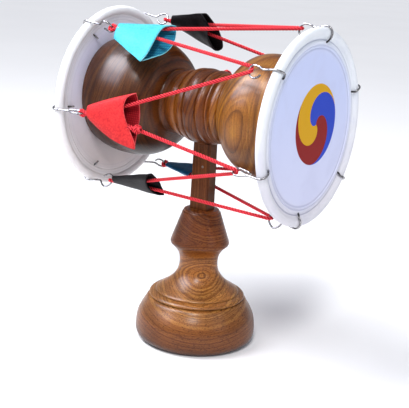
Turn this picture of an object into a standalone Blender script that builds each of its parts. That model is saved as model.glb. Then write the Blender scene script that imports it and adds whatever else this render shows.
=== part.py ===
"""An hourglass drum on a turned stand, its two heads laced together through wire hooks.

Row frame: X along the drum's axis (the emblem head at +X), Z up, the floor at Z = 0,
the stand's axis at X = Y = 0. Sizes are in metres, angles in degrees.
"""
import math

import bmesh
import bpy
from mathutils import Vector

MM = 0.001

# Placing
HEAD_AXIS_HEIGHT = 162.0 * MM
GAP = 0.3 * MM                     # between pieces that touch

# Heads: a leather covered ring and a flat skin
RIM_PLANE = 78.5 * MM              # the ring's middle plane, each side of X = 0
RIM_RADIUS = 60.0 * MM             # the ring's centre line
RIM_TUBE = 3.15 * MM
SKIN_INNER = 77.2 * MM             # the skin's faces, distances from X = 0
SKIN_OUTER = 79.2 * MM
SKIN_STEP_INSET = 8.6 * MM         # places on the skin, measured in from the ring's centre line
SKIN_STEP = 0.4 * MM
SKIN_GROOVE_INSET = 4.6 * MM
SKIN_GROOVE = 0.5 * MM
SKIN_ROOT_INSET = 3.0 * MM         # where the ring's roundness starts
HEAD_FACETS = 32

# Drum body, turned round an axis a little off the heads' centre
BODY_SHIFT_Y = -2.5 * MM
BODY_SHIFT_Z = 3.6 * MM
BODY_MOUTH = SKIN_INNER - GAP
BODY_FACETS = 26
LEFT_BOWL = [(-BODY_MOUTH / MM, 37.2), (-71.0, 39.3), (-63.0, 40.9), (-53.0, 41.2), (-44.0, 40.4),
             (-37.0, 37.9), (-31.0, 34.4), (-26.6, 30.6), (-24.2, 26.6)]
RIGHT_BOWL = [(25.2, 25.4), (28.6, 29.0), (33.0, 33.6), (38.0, 37.2), (44.0, 39.5),
              (52.0, 40.2), (61.0, 39.0), (69.0, 37.7), (BODY_MOUTH / MM, 36.6)]
# the waist's beads: start, radius there, and how far the bead bulges to the next start
WAIST_BEADS = [(-23.6, 22.2, 0.5), (-19.8, 20.2, 0.5), (-9.4, 23.1, 0.5), (-2.2, 24.9, 0.7),
               (7.2, 24.0, 1.0), (13.8, 23.2, 0.5), (17.2, 22.4, 0.4), (22.6, 21.9, 0.0)]
WALL = 4.6 * MM
BORE_RADIUS = 8.0 * MM
BORE_CHAMFER = 3.4 * MM            # the slope from a bowl's bottom to the bore, measured along X
LEFT_CAVITY = [(-62.0, 36.0), (-49.0, 36.0), (-37.0, 31.8), (-28.8, 20.4)]
RIGHT_CAVITY = [(30.4, 19.6), (38.6, 31.2), (50.0, 35.2), (63.0, 34.0)]

# Stand
BASE_FACETS = 26
BASE_RING_RADIUS = 11.4 * MM       # the thin ring on top of the collar
BASE_RING = 0.7 * MM
BASE_TOP = 94.0 * MM
COLLAR_TOP_RADIUS = 13.2 * MM
COLLAR_TOP = 92.4 * MM
COLLAR_RADIUS = 20.3 * MM
COLLAR_LOW = 72.0 * MM
NECK_RADIUS = 13.4 * MM
BULB_RADIUS = 42.0 * MM
BULB_HEIGHT = 7.4 * MM             # of the widest part
FOOT_RADIUS = 34.0 * MM
# the curve from the collar through the neck to the step on the bulb: height, radius
NECK_CURVE = [(71.9, 20.2), (69.2, 20.0), (66.4, 17.0), (62.6, 14.4), (58.6, 13.4), (53.6, 13.4),
              (49.0, 14.7), (44.6, 17.6), (40.4, 22.2), (37.2, 27.0), (34.2, 30.6), (31.2, 32.9)]
BEAD_GROOVE = [(30.2, 33.9), (28.4, 34.4)]     # the step between the neck's flare and the bulb
BULB_CURVE = [(27.4, 35.6), (23.0, 38.7), (18.0, 40.9), (12.0, 41.9), (7.4, 42.0)]

POST_LENGTH_X = 13.8 * MM          # the bar's section at its top
POST_LENGTH_Y = 8.8 * MM
POST_TAPER = 1.07                  # how much wider it is at the collar
POST_BELOW_AXIS = 18.8 * MM        # from the heads' axis down to the horns of its saddle
POST_CHAMFER = 0.5 * MM
SADDLE_GAP = 0.36 * MM             # the fit gap and a little for the facets
SOCKET_DEPTH = 10.0 * MM

# Hooks: wire over the ring, then an open U towards the waist
WIRE = 0.65 * MM                   # half its thickness
HOOK_COUNT = 6
LEFT_FIRST = 3.0                   # the first hook's place round the ring, from +Y upwards
RIGHT_FIRST = 21.0
LEFT_REACH = 21.0 * MM             # from the ring's plane to the wire at the end of the U
RIGHT_REACH = 19.0 * MM
HOOK_OUT = 1.0 * MM                # how far the U's end is outside the ring's centre line
HOOK_SLACK = 0.22 * MM             # more room over the ring, for the path's short chords
HOOK_START = 222.0                 # where the wire starts on the ring's outer face
HOOK_LEAVE = 82.0                  # where it leaves the ring
HOOK_SLANT = 3.2 * MM              # sideways lean of its outer end
HOOK_NEAR = -3.0 * MM              # the U's two sides, measured along the ring
HOOK_FAR = 4.4 * MM
HOOK_TIP = 5.6 * MM
HOOK_STEM = 12.0 * MM              # from the U's end back to where its two sides part
HOOK_BACK = 8.0 * MM               # how far the open side comes back from the U's end
HOOK_TIP_BACK = 11.0 * MM
HOOK_TIP_LIFT = 0.6 * MM           # its tip stands off by this
LEFT_SENSE = [1, 1, 1, -1, -1, 1]  # which way each U opens
RIGHT_SENSE = [1, 1, 1, 1, 1, 1]

# Cord
CORD = 1.2 * MM                    # half its thickness
CORD_SIDES = 6
CORD_SPREAD = 0.5 * MM             # half the sideways step where it goes round a hook
CORD_SLACK = 0.2 * MM              # more room round the wire, for the path's short chords
PINCH = 6.5 * MM                   # where a sleeve's narrow end holds the two spans side by side
PINCH_SPREAD = 1.7 * MM
PINCH_DEPTH = 0.3 * MM
KNOT_HOOK = 3                      # the knot is on the span from this left hook
KNOT_PLACE = 0.345                 # part of the span from the sleeve's narrow end
KNOT = 2.3 * MM
KNOT_LENGTH = 2.4 * MM

# Sleeves, one for each left hook: half width of the open end, its shift towards the low
# side, and how far (degrees) the low edge hangs down
SLEEVE_WALL = 0.8 * MM
SLEEVE_START = 5.0 * MM            # measured from the hook along the V of the cord
SLEEVE_END = 38.5 * MM
SLEEVE_SLANT = 5.0 * MM            # its open end: the outer side is shorter by this, the inner longer
SLEEVE_NARROW = 6.2 * MM
SLEEVE_NARROW_DEPTH = 3.1 * MM
SLEEVE_FULLNESS = 2.6              # 2 is an ellipse, more is flatter
HANG_NARROW = 3.0 * MM             # where a sleeve's low part starts to hang, at its narrow end
HANG_WIDE = 17.0 * MM              # and at its open end
HANG_EASE = 4.0 * MM
SLEEVE_FACETS = 16
SLEEVE_DEPTH = 5.6 * MM            # half depth of the open end
SLEEVES = [("red_back", 19.0 * MM, 3.4 * MM, 0.0), ("black_top", 19.6 * MM, 3.6 * MM, 30.0),
           ("turquoise", 20.4 * MM, 5.0 * MM, 45.0), ("red_front", 19.0 * MM, 3.4 * MM, 0.0),
           ("black_bottom", 15.2 * MM, 0.0, 0.0), ("blue_bottom", 15.2 * MM, 0.0, 0.0)]


def clear_scene():
    """Remove whatever the file opened with."""
    for old in list(bpy.data.objects):
        bpy.data.objects.remove(old, do_unlink=True)


def material(name, color, roughness, metallic=0.0):
    """A plain material for one sub-part."""
    made = bpy.data.materials.new(name)
    made.use_nodes = True
    bsdf = made.node_tree.nodes["Principled BSDF"]
    bsdf.inputs["Base Color"].default_value = (*color, 1.0)
    bsdf.inputs["Roughness"].default_value = roughness
    bsdf.inputs["Metallic"].default_value = metallic
    return made


def finish(name, bm, mat, smooth_angle=35.0):
    """Turn a bmesh into an object with outward faces and smooth round surfaces."""
    bmesh.ops.remove_doubles(bm, verts=bm.verts, dist=1e-6)
    bmesh.ops.recalc_face_normals(bm, faces=bm.faces)
    mesh = bpy.data.meshes.new(name)
    bm.to_mesh(mesh)
    bm.free()
    obj = bpy.data.objects.new(name, mesh)
    bpy.context.scene.collection.objects.link(obj)
    mesh.materials.append(mat)
    for polygon in mesh.polygons:
        polygon.use_smooth = True
    mesh.set_sharp_from_angle(angle=math.radians(smooth_angle))
    return obj


def scaled(points):
    """Pairs in millimetres to metres."""
    return [(a * MM, b * MM) for a, b in points]


def bead(start, end, bulge, steps=3):
    """Points of a shallow round between two profile points, without the last one."""
    out = []
    for i in range(steps):
        t = i / steps
        lift = bulge * math.sin(math.pi * t)
        out.append((start[0] + (end[0] - start[0]) * t, start[1] + (end[1] - start[1]) * t + lift))
    return out


def turned(name, profile, facets, place, mat, smooth_angle, hollow=False):
    """A turned solid: profile of (along, radius) pairs, place(along, radius, angle) to a point.

    A hollow one has a profile that closes on itself, the others end in two flat discs.
    """
    bm = bmesh.new()
    rings = []
    for along, radius in profile:
        ring = []
        for i in range(facets):
            ring.append(bm.verts.new(place(along, radius, 2.0 * math.pi * i / facets)))
        rings.append(ring)
    pairs = list(zip(rings, rings[1:]))
    if hollow:
        pairs.append((rings[-1], rings[0]))
    else:
        bm.faces.new(rings[0])
        bm.faces.new(list(reversed(rings[-1])))
    for one, two in pairs:
        for i in range(facets):
            j = (i + 1) % facets
            bm.faces.new((one[i], one[j], two[j], two[i]))
    return finish(name, bm, mat, smooth_angle)


def sweep(bm, points, radius_of, sides, closed=False):
    """A round bar along a path, its section carried along without twisting."""
    count = len(points)
    tangents = []
    for i in range(count):
        if closed:
            step = points[(i + 1) % count] - points[i - 1]
        else:
            step = points[min(i + 1, count - 1)] - points[max(i - 1, 0)]
        tangents.append(step.normalized())
    side = tangents[0].orthogonal().normalized()
    frames = [side]
    for i in range(1, count):
        turn = tangents[i - 1].rotation_difference(tangents[i])
        side = turn @ side
        side = (side - tangents[i] * side.dot(tangents[i])).normalized()
        frames.append(side)
    drift = 0.0
    if closed:
        turn = tangents[-1].rotation_difference(tangents[0])
        last = turn @ frames[-1]
        drift = math.atan2(frames[0].cross(last).dot(tangents[0]), frames[0].dot(last))
    rings = []
    for i in range(count):
        across = tangents[i].cross(frames[i])
        ring = []
        for k in range(sides):
            angle = 2.0 * math.pi * k / sides - drift * i / count
            offset = frames[i] * math.cos(angle) + across * math.sin(angle)
            ring.append(bm.verts.new(points[i] + offset * radius_of(i)))
        rings.append(ring)
    last = count if closed else count - 1
    for i in range(last):
        one = rings[i]
        two = rings[(i + 1) % count]
        for k in range(sides):
            m = (k + 1) % sides
            bm.faces.new((one[k], one[m], two[m], two[k]))
    if not closed:
        bm.faces.new(rings[0])
        bm.faces.new(list(reversed(rings[-1])))


def drum_point(x, radius, angle):
    """A point round the heads' axis; the angle starts at +Y and goes up."""
    return Vector((x, radius * math.cos(angle), HEAD_AXIS_HEIGHT + radius * math.sin(angle)))


def body_point(x, radius, angle):
    """A point round the body's own axis."""
    return drum_point(x, radius, angle) + Vector((0.0, BODY_SHIFT_Y, BODY_SHIFT_Z))


def stand_point(z, radius, angle):
    """A point round the stand's axis."""
    return Vector((radius * math.cos(angle), radius * math.sin(angle), z))


def make_body(mat):
    """The hourglass body with its two bowls hollow and a bore through the waist."""
    outer = scaled(LEFT_BOWL)
    for first, second in zip(WAIST_BEADS, WAIST_BEADS[1:]):
        start = (first[0] * MM, first[1] * MM)
        end = (second[0] * MM, second[1] * MM)
        outer += bead(start, end, first[2] * MM)
    outer.append((WAIST_BEADS[-1][0] * MM, WAIST_BEADS[-1][1] * MM))
    outer += scaled(RIGHT_BOWL)
    left_mouth = outer[0][1] - WALL
    right_mouth = outer[-1][1] - WALL
    inner = [(-BODY_MOUTH, left_mouth)] + scaled(LEFT_CAVITY)
    inner.append((LEFT_CAVITY[-1][0] * MM + BORE_CHAMFER, BORE_RADIUS))
    inner.append((RIGHT_CAVITY[0][0] * MM - BORE_CHAMFER, BORE_RADIUS))
    inner += scaled(RIGHT_CAVITY) + [(BODY_MOUTH, right_mouth)]
    profile = outer + list(reversed(inner))
    return turned("drum_body", profile, BODY_FACETS, body_point, mat, 28.0, hollow=True)


def make_head(name, side, mat):
    """A ring and its skin as one piece; side is -1 for the left head, +1 for the right."""
    ledge = SKIN_OUTER + SKIN_STEP
    step = RIM_RADIUS - SKIN_STEP_INSET
    groove = RIM_RADIUS - SKIN_GROOVE_INSET
    profile = [(SKIN_OUTER, step - SKIN_STEP), (ledge, step)]
    profile.append((ledge, groove - 2.0 * SKIN_GROOVE))
    profile.append((ledge - SKIN_GROOVE, groove))
    start = math.degrees(math.acos(-SKIN_ROOT_INSET / RIM_TUBE))
    end = -180.0 - math.degrees(math.asin((SKIN_INNER - RIM_PLANE) / RIM_TUBE))
    steps = 8
    for i in range(steps + 1):
        angle = math.radians(start + (end - start) * i / steps)
        x = RIM_PLANE + RIM_TUBE * math.sin(angle)
        profile.append((x, RIM_RADIUS + RIM_TUBE * math.cos(angle)))
    profile = [(side * x, radius) for x, radius in profile]
    return turned(name, profile, HEAD_FACETS, drum_point, mat, 40.0)


def post_top_cutter():
    """A cylinder along X that hollows the post's top for the waist."""
    radius = waist_radius() + SADDLE_GAP
    bm = bmesh.new()
    bmesh.ops.create_cone(bm, cap_ends=True, segments=48, radius1=radius, radius2=radius,
                          depth=4.0 * POST_LENGTH_X)
    bmesh.ops.rotate(bm, verts=bm.verts, matrix=Vector((1, 0, 0)).rotation_difference(
        Vector((0, 0, 1))).to_matrix())
    bmesh.ops.translate(bm, verts=bm.verts, vec=(0.0, BODY_SHIFT_Y, HEAD_AXIS_HEIGHT + BODY_SHIFT_Z))
    mesh = bpy.data.meshes.new("cut_saddle")
    bm.to_mesh(mesh)
    bm.free()
    cutter = bpy.data.objects.new("cut_saddle", mesh)
    bpy.context.scene.collection.objects.link(cutter)
    cutter.hide_render = True
    cutter.display_type = "WIRE"
    return cutter


def waist_radius():
    """The largest radius of the waist above the post."""
    largest = 0.0
    for first, second in zip(WAIST_BEADS, WAIST_BEADS[1:]):
        if second[0] * MM < -POST_LENGTH_X / 2.0 or first[0] * MM > POST_LENGTH_X / 2.0:
            continue
        start = (first[0] * MM, first[1] * MM)
        end = (second[0] * MM, second[1] * MM)
        for point in bead(start, end, first[2] * MM, 8):
            largest = max(largest, point[1])
    return largest


def make_post(mat):
    """The flat bar from the collar's socket up to the waist."""
    low = BASE_TOP - SOCKET_DEPTH + GAP
    bm = bmesh.new()
    levels = []
    for height, scale in ((low, POST_TAPER), (BASE_TOP, POST_TAPER),
                          (HEAD_AXIS_HEIGHT - POST_BELOW_AXIS, 1.0)):
        half_x = POST_LENGTH_X / 2.0 * scale
        half_y = POST_LENGTH_Y / 2.0 * scale
        cut = POST_CHAMFER
        ring = []
        for x, y in ((half_x - cut, -half_y), (half_x, cut - half_y), (half_x, half_y - cut),
                     (half_x - cut, half_y), (cut - half_x, half_y), (-half_x, half_y - cut),
                     (-half_x, cut - half_y), (cut - half_x, -half_y)):
            ring.append(bm.verts.new((x, y, height)))
        levels.append(ring)
    for one, two in zip(levels, levels[1:]):
        for i in range(len(one)):
            j = (i + 1) % len(one)
            bm.faces.new((one[i], one[j], two[j], two[i]))
    bm.faces.new(list(reversed(levels[0])))
    bm.faces.new(levels[-1])
    post = finish("stand_post", bm, mat, 30.0)
    cut = post.modifiers.new("saddle", "BOOLEAN")
    cut.operation = "DIFFERENCE"
    cut.solver = "EXACT"
    cut.object = post_top_cutter()
    return post


def make_base(mat):
    """The turned stand, with a socket for the post in its collar."""
    profile = [(0.0, FOOT_RADIUS)]
    steps = 5
    for i in range(1, steps + 1):
        angle = math.pi / 2.0 * i / steps
        radius = FOOT_RADIUS + (BULB_RADIUS - FOOT_RADIUS) * math.sin(angle)
        profile.append((BULB_HEIGHT * (1.0 - math.cos(angle)), radius))
    profile += list(reversed(scaled(BULB_CURVE)))[1:]
    profile += list(reversed(scaled(BEAD_GROOVE)))
    profile += list(reversed(scaled(NECK_CURVE)))
    profile.append((COLLAR_TOP, COLLAR_TOP_RADIUS))
    profile.append((BASE_TOP - BASE_RING, BASE_RING_RADIUS + BASE_RING))
    profile.append((BASE_TOP, BASE_RING_RADIUS))
    base = turned("stand_base", profile, BASE_FACETS, stand_point, mat, 30.0)
    bm = bmesh.new()
    bmesh.ops.create_cube(bm, size=1.0)
    size_x = POST_LENGTH_X * POST_TAPER + 2.0 * GAP
    size_y = POST_LENGTH_Y * POST_TAPER + 2.0 * GAP
    bmesh.ops.scale(bm, verts=bm.verts, vec=(size_x, size_y, 2.0 * SOCKET_DEPTH))
    bmesh.ops.translate(bm, verts=bm.verts, vec=(0.0, 0.0, BASE_TOP))
    mesh = bpy.data.meshes.new("cut_socket")
    bm.to_mesh(mesh)
    bm.free()
    cutter = bpy.data.objects.new("cut_socket", mesh)
    bpy.context.scene.collection.objects.link(cutter)
    cutter.hide_render = True
    cutter.display_type = "WIRE"
    cut = base.modifiers.new("socket", "BOOLEAN")
    cut.operation = "DIFFERENCE"
    cut.solver = "EXACT"
    cut.object = cutter
    return base


def hook_frame(side, index):
    """The hook's place round the ring in radians, the sense of its U and its reach."""
    first = LEFT_FIRST if side < 0 else RIGHT_FIRST
    sense = LEFT_SENSE[index] if side < 0 else RIGHT_SENSE[index]
    reach = LEFT_REACH if side < 0 else RIGHT_REACH
    return math.radians(first + 360.0 / HOOK_COUNT * index), sense, reach


def hook_point(side, index, reach, radius, along):
    """A point near a hook: reach from the ring towards the waist, along = along the ring."""
    angle, _, _ = hook_frame(side, index)
    point = drum_point(side * (RIM_PLANE - reach), radius, angle)
    return point + Vector((0.0, -math.sin(angle), math.cos(angle))) * along


def make_hook(side, index, mat):
    """One wire hook."""
    _, sense, end_reach = hook_frame(side, index)
    path = RIM_TUBE + GAP + WIRE + HOOK_SLACK
    rows = []
    steps = 5
    for i in range(steps + 1):
        t = i / steps
        angle = math.radians(HOOK_START + (HOOK_LEAVE - HOOK_START) * t)
        rows.append((path * math.cos(angle), RIM_RADIUS + path * math.sin(angle),
                     -HOOK_SLANT * (1.0 - t) ** 2))
    leave = rows[-1]

    def wire_radius(reach):
        """The wire runs straight from the ring to the U's end."""
        share = (reach - leave[0]) / (end_reach - leave[0])
        return leave[1] + (RIM_RADIUS + HOOK_OUT - leave[1]) * share

    middle = (HOOK_NEAR + HOOK_FAR) / 2.0
    half = (HOOK_FAR - HOOK_NEAR) / 2.0
    for back, along in ((HOOK_STEM, 0.0), (HOOK_BACK, HOOK_NEAR * 0.75)):
        reach = end_reach - back
        rows.append((reach, wire_radius(reach), along))
    bend = end_reach - half
    for i in range(6):
        angle = math.radians(180.0 - 36.0 * i)
        reach = bend + half * math.sin(angle)
        rows.append((reach, wire_radius(reach), middle + half * math.cos(angle)))
    back = end_reach - HOOK_BACK
    rows.append((back, wire_radius(back), HOOK_FAR))
    back = end_reach - HOOK_TIP_BACK
    rows.append((back, wire_radius(back) + HOOK_TIP_LIFT, HOOK_TIP))
    points = [hook_point(side, index, reach, radius, along * sense) for reach, radius, along in rows]
    bm = bmesh.new()
    sweep(bm, points, lambda i: WIRE, 6)
    name = "hook_%s_%d" % ("left" if side < 0 else "right", index + 1)
    return finish(name, bm, mat, 50.0)


def eye_centre(side, index):
    """The middle of the wire at the end of a hook's U."""
    _, sense, reach = hook_frame(side, index)
    middle = (HOOK_NEAR + HOOK_FAR) / 2.0 * sense
    return hook_point(side, index, reach, RIM_RADIUS + HOOK_OUT, middle)


def eye_axes(side, index):
    """Directions at a hook: towards its ring, away from the drum's axis, along the ring."""
    angle, _, _ = hook_frame(side, index)
    towards = Vector((side, 0.0, 0.0))
    outwards = Vector((0.0, math.cos(angle), math.sin(angle)))
    along = Vector((0.0, -math.sin(angle), math.cos(angle)))
    return towards, outwards, along


def cord_turn(side, index):
    """The cord's way round the wire: in from the outside of the drum, out on its inside."""
    centre = eye_centre(side, index)
    towards, outwards, along = eye_axes(side, index)
    round_wire = WIRE + GAP + CORD + CORD_SLACK
    points = []
    for i in range(5):
        angle = math.pi * i / 4.0
        step = towards * math.sin(angle) + outwards * math.cos(angle)
        points.append(centre + step * round_wire + along * CORD_SPREAD * (i / 2.0 - 1.0))
    if side < 0:
        start, axis, across, away = sleeve_frame(index)
        for sense, place in ((-1.0, 0), (1.0, len(points) + 1)):
            point = start + axis * PINCH + across * PINCH_SPREAD * sense - away * PINCH_DEPTH * sense
            points.insert(place, point)
    return points


def cord_path():
    """The closed route of the lacing: left hook, right hook, next left hook, and so on."""
    points = []
    knot = []
    for k in range(HOOK_COUNT):
        left = (KNOT_HOOK + k) % HOOK_COUNT
        points += cord_turn(-1, left)
        right = cord_turn(1, left)
        if k == 0:
            # the knot sits just outside the sleeve's open end
            start = points[-1]
            span = right[0] - start
            middle = start + span * KNOT_PLACE
            step = span.normalized() * KNOT_LENGTH
            for share in (-1.25, -0.75, 0.0, 0.75, 1.25):
                knot.append(len(points))
                points.append(middle + step * share)
        points += right
    return points, knot


def make_cord(mat):
    """The whole lacing as one round cord, thicker at its knot."""
    points, knot = cord_path()
    thick = {knot[1]: KNOT * 0.86, knot[2]: KNOT, knot[3]: KNOT * 0.86}
    bm = bmesh.new()
    sweep(bm, points, lambda i: thick.get(i, CORD), CORD_SIDES, closed=True)
    return finish("lacing_cord", bm, mat, 60.0)


def sleeve_frame(index):
    """Start, axis, width direction and outward direction of the V at a left hook."""
    start = eye_centre(-1, index)
    before = eye_centre(1, (index - 1) % HOOK_COUNT)
    after = eye_centre(1, index)
    axis = ((before + after) / 2.0 - start).normalized()
    outwards = (after - start).cross(before - start).normalized()
    _, away, _ = eye_axes(-1, index)
    if outwards.dot(away) < 0.0:
        outwards = -outwards
    across = outwards.cross(axis)
    return start, axis, across, outwards


def make_sleeve(index, mat):
    """A flattened leather sleeve round the two spans that meet at a left hook."""
    name, half_width, shift, hang = SLEEVES[index]
    start, axis, across, outwards = sleeve_frame(index)
    low = 1.0 if across.z < 0.0 else -1.0
    bm = bmesh.new()
    rings = []
    for share, inset in ((0.0, 0.0), (0.5, 0.0), (1.0, 0.0), (1.0, SLEEVE_WALL), (0.5, SLEEVE_WALL),
                         (0.0, SLEEVE_WALL)):
        flat = 2.0 / SLEEVE_FULLNESS
        width = SLEEVE_NARROW + (half_width - SLEEVE_NARROW) * share - inset
        depth = SLEEVE_NARROW_DEPTH + (SLEEVE_DEPTH - SLEEVE_NARROW_DEPTH) * share - inset
        ring = []
        for i in range(SLEEVE_FACETS):
            angle = 2.0 * math.pi * i / SLEEVE_FACETS
            c = math.cos(angle)
            s = math.sin(angle)
            v = width * math.copysign(abs(c) ** flat, c) + low * shift * share
            n = depth * math.copysign(abs(s) ** flat, s)
            end = SLEEVE_END - SLEEVE_SLANT * s
            along = SLEEVE_START + (end - SLEEVE_START) * share
            # the low edge hangs: the part outside the cord turns down
            cord_edge = HANG_NARROW + (HANG_WIDE - HANG_NARROW) * share
            beyond = low * v - cord_edge
            if beyond > 0.0 and hang > 0.0:
                turn = math.radians(hang) * share * min(beyond / HANG_EASE, 1.0)
                v = low * (cord_edge + beyond * math.cos(turn))
                n = n - beyond * math.sin(turn)
            ring.append(bm.verts.new(start + axis * along + across * v + outwards * n))
        rings.append(ring)
    for k in range(len(rings)):
        one = rings[k]
        two = rings[(k + 1) % len(rings)]
        for i in range(SLEEVE_FACETS):
            j = (i + 1) % SLEEVE_FACETS
            bm.faces.new((one[i], one[j], two[j], two[i]))
    return finish("sleeve_" + name, bm, mat, 55.0)


def build():
    """Make every sub-part."""
    clear_scene()
    body_wood = material("body_wood", (0.22, 0.09, 0.035), 0.35)
    base_wood = material("base_wood", (0.32, 0.14, 0.05), 0.35)
    post_wood = material("post_wood", (0.12, 0.05, 0.02), 0.45)
    left_skin = material("left_skin", (0.75, 0.76, 0.85), 0.5)
    right_skin = material("right_skin", (0.78, 0.8, 0.92), 0.45)
    steel = material("hook_steel", (0.7, 0.7, 0.72), 0.2, 1.0)
    cord = material("cord_fabric", (0.75, 0.05, 0.06), 0.8)
    colors = {"red_back": (0.7, 0.06, 0.07), "black_top": (0.012, 0.011, 0.014),
              "turquoise": (0.06, 0.65, 0.72), "red_front": (0.8, 0.07, 0.08),
              "black_bottom": (0.016, 0.015, 0.018), "blue_bottom": (0.015, 0.11, 0.25)}
    make_base(base_wood)
    make_post(post_wood)
    make_body(body_wood)
    make_head("left_head", -1, left_skin)
    make_head("right_head", 1, right_skin)
    for side in (-1, 1):
        for index in range(HOOK_COUNT):
            make_hook(side, index, steel)
    make_cord(cord)
    for index, row in enumerate(SLEEVES):
        leather = material("leather_" + row[0], colors[row[0]], 0.45)
        make_sleeve(index, leather)


build()
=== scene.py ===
"""An hourglass drum on a turned stand, dressed for its picture.

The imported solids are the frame. Over them this script makes the smooth turned wood, the drum skins
on their rings, the wire hooks, the twisted lacing cord and the leather sleeves, in metres, with X
along the drum's axis towards the head with the painted swirl, Z up and the floor at Z = 0.
"""
import logging
import math
from dataclasses import dataclass, field
from enum import Enum
from typing import Sequence

import bmesh
import bpy
from mathutils import Matrix, Vector
from mathutils.geometry import interpolate_bezier
from mathutils.kdtree import KDTree


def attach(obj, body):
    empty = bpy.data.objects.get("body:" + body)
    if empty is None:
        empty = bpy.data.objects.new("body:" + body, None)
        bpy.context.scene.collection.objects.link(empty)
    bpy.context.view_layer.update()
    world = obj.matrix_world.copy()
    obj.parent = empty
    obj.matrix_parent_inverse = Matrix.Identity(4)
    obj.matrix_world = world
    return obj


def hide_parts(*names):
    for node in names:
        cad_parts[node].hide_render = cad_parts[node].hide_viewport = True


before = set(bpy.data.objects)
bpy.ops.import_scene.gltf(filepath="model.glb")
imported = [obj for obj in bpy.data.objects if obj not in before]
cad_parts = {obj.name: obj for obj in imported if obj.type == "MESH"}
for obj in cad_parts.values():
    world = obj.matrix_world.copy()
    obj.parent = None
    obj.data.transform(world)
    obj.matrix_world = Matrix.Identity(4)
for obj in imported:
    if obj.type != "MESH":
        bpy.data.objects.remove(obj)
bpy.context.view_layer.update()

MM = 0.001
FULL_TURN = 2.0 * math.pi
UP = Vector((0.0, 0.0, 1.0))
# how high the heads' axis is over the floor
AXIS_HEIGHT = 162.0 * MM
# level and out of the stand's front, nearer to the painted head than straight ahead
FRONT = Vector((0.555, -0.832, 0.0))
# points of a mesh that are nearer than this are one, in metres
WELD = 2e-6
# parts of a smooth curve between two of the points that it is drawn through
CURVE_STEPS = 6
# how far a worn surface's roughness varies about its own, downwards and upwards
DULL_SPREAD = (-0.06, 0.14)
# the attribute that holds how far a point of the cord stands out between its strands, for the
# painted shade there
STRAND_SHADE_MARK = "height"
RGBA = tuple[float, float, float, float]
Line = list[tuple[float, float]]
Spot = tuple[float, float, float]
Socket = bpy.types.NodeSocket
log = logging.getLogger("drum")


class Side(Enum):
    """The two ends of the drum, with the sign of their X."""

    LEFT = -1
    RIGHT = 1


class Spin(Enum):
    """The axis that a turned piece was turned on."""

    ALONG_DRUM = (1.0, 0.0, 0.0)
    UPRIGHT = (0.0, 0.0, 1.0)


def linear(code: str) -> RGBA:
    """Turn a given colour into the renderer's linear values.

    Args:
        code: An sRGB hex value such as "#8A5A33".

    Returns:
        Red, green, blue and an alpha of 1.
    """
    channels = [int(code[i:i + 2], 16) / 255.0 for i in (1, 3, 5)]
    red, green, blue = (c / 12.92 if c <= 0.04045 else ((c + 0.055) / 1.055) ** 2.4
                        for c in channels)
    return red, green, blue, 1.0


def fill_sockets(tree: bpy.types.NodeTree, node: bpy.types.Node, inputs: dict) -> None:
    """Give a node's sockets what goes into them.

    Args:
        tree: The material's node tree.
        node: The node.
        inputs: For each socket another node's output, which is linked, or a value.
    """
    for key, value in inputs.items():
        if isinstance(value, Socket):
            tree.links.new(value, node.inputs[key])
        else:
            node.inputs[key].default_value = value


def put(tree: bpy.types.NodeTree, kind: str, inputs: dict | None = None,
        stops: Sequence[tuple[float, RGBA]] = (), **settings: object) -> bpy.types.Node:
    """Add a node to a material.

    Args:
        tree: The material's node tree.
        kind: Blender's name for the node.
        inputs: What goes into its sockets.
        stops: Places and colours along a colour ramp.
        **settings: The node's own settings.

    Returns:
        The new node.
    """
    node = tree.nodes.new(kind)
    for key, value in settings.items():
        setattr(node, key, value)
    fill_sockets(tree, node, inputs or {})
    for i, (place, color) in enumerate(stops):
        ramp = node.color_ramp.elements
        stop = ramp[i] if i < 2 else ramp.new(place)
        stop.position = place
        stop.color = color
    return node


def new_material(name: str) -> tuple[bpy.types.Material, Socket]:
    """Start a node material.

    Args:
        name: What the finish is.

    Returns:
        The material, and the point that is coloured, on Object coordinates.
    """
    made = bpy.data.materials.new(name)
    made.use_nodes = True
    return made, put(made.node_tree, "ShaderNodeTexCoord").outputs["Object"]


def dress_shader(made: bpy.types.Material, color: Socket, roughness: Socket | float,
                 bump: bpy.types.Node | None, values: dict[str, float]) -> bpy.types.Material:
    """Give a material's shader its colour, gloss and relief.

    Args:
        made: The material.
        color: Its colour.
        roughness: How dull it is.
        bump: Its relief, where it has any.
        values: What its other sockets are set to.

    Returns:
        The same material.
    """
    inputs = {"Base Color": color, "Roughness": roughness, **values}
    if bump is not None:
        inputs["Normal"] = bump.outputs[0]
    fill_sockets(made.node_tree, made.node_tree.nodes["Principled BSDF"], inputs)
    return made


def from_axis(tree: bpy.types.NodeTree, place: Socket) -> tuple[Socket, Socket]:
    """Measure a point from the heads' axis.

    Args:
        tree: The material's tree.
        place: The point.

    Returns:
        The point measured from the axis' middle, and its distance from the axis.
    """
    local = put(tree, "ShaderNodeVectorMath", {0: place, 1: UP * AXIS_HEIGHT}, operation="SUBTRACT")
    flat = put(tree, "ShaderNodeVectorMath", {0: local.outputs[0], 1: (0.0, 1.0, 1.0)},
               operation="MULTIPLY")
    away = put(tree, "ShaderNodeVectorMath", {0: flat.outputs[0]}, operation="LENGTH")
    return local.outputs[0], away.outputs["Value"]


def smooth_line(points: Sequence[Vector], steps: int) -> list[Vector]:
    """Draw a smooth curve through points.

    Args:
        points: The points it passes through.
        steps: Parts between two of them.

    Returns:
        The points of the curve, the two ends included.
    """
    line = [points[0].copy()]
    for i in range(len(points) - 1):
        here, there = points[i], points[i + 1]
        before = points[max(i - 1, 0)]
        after = points[min(i + 2, len(points) - 1)]
        reach = (there - here).length / 3.0
        leave = here + (there - before).normalized() * reach
        arrive = there - (after - here).normalized() * reach
        line += interpolate_bezier(here, leave, arrive, there, steps + 1)[1:]
    return line


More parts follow.
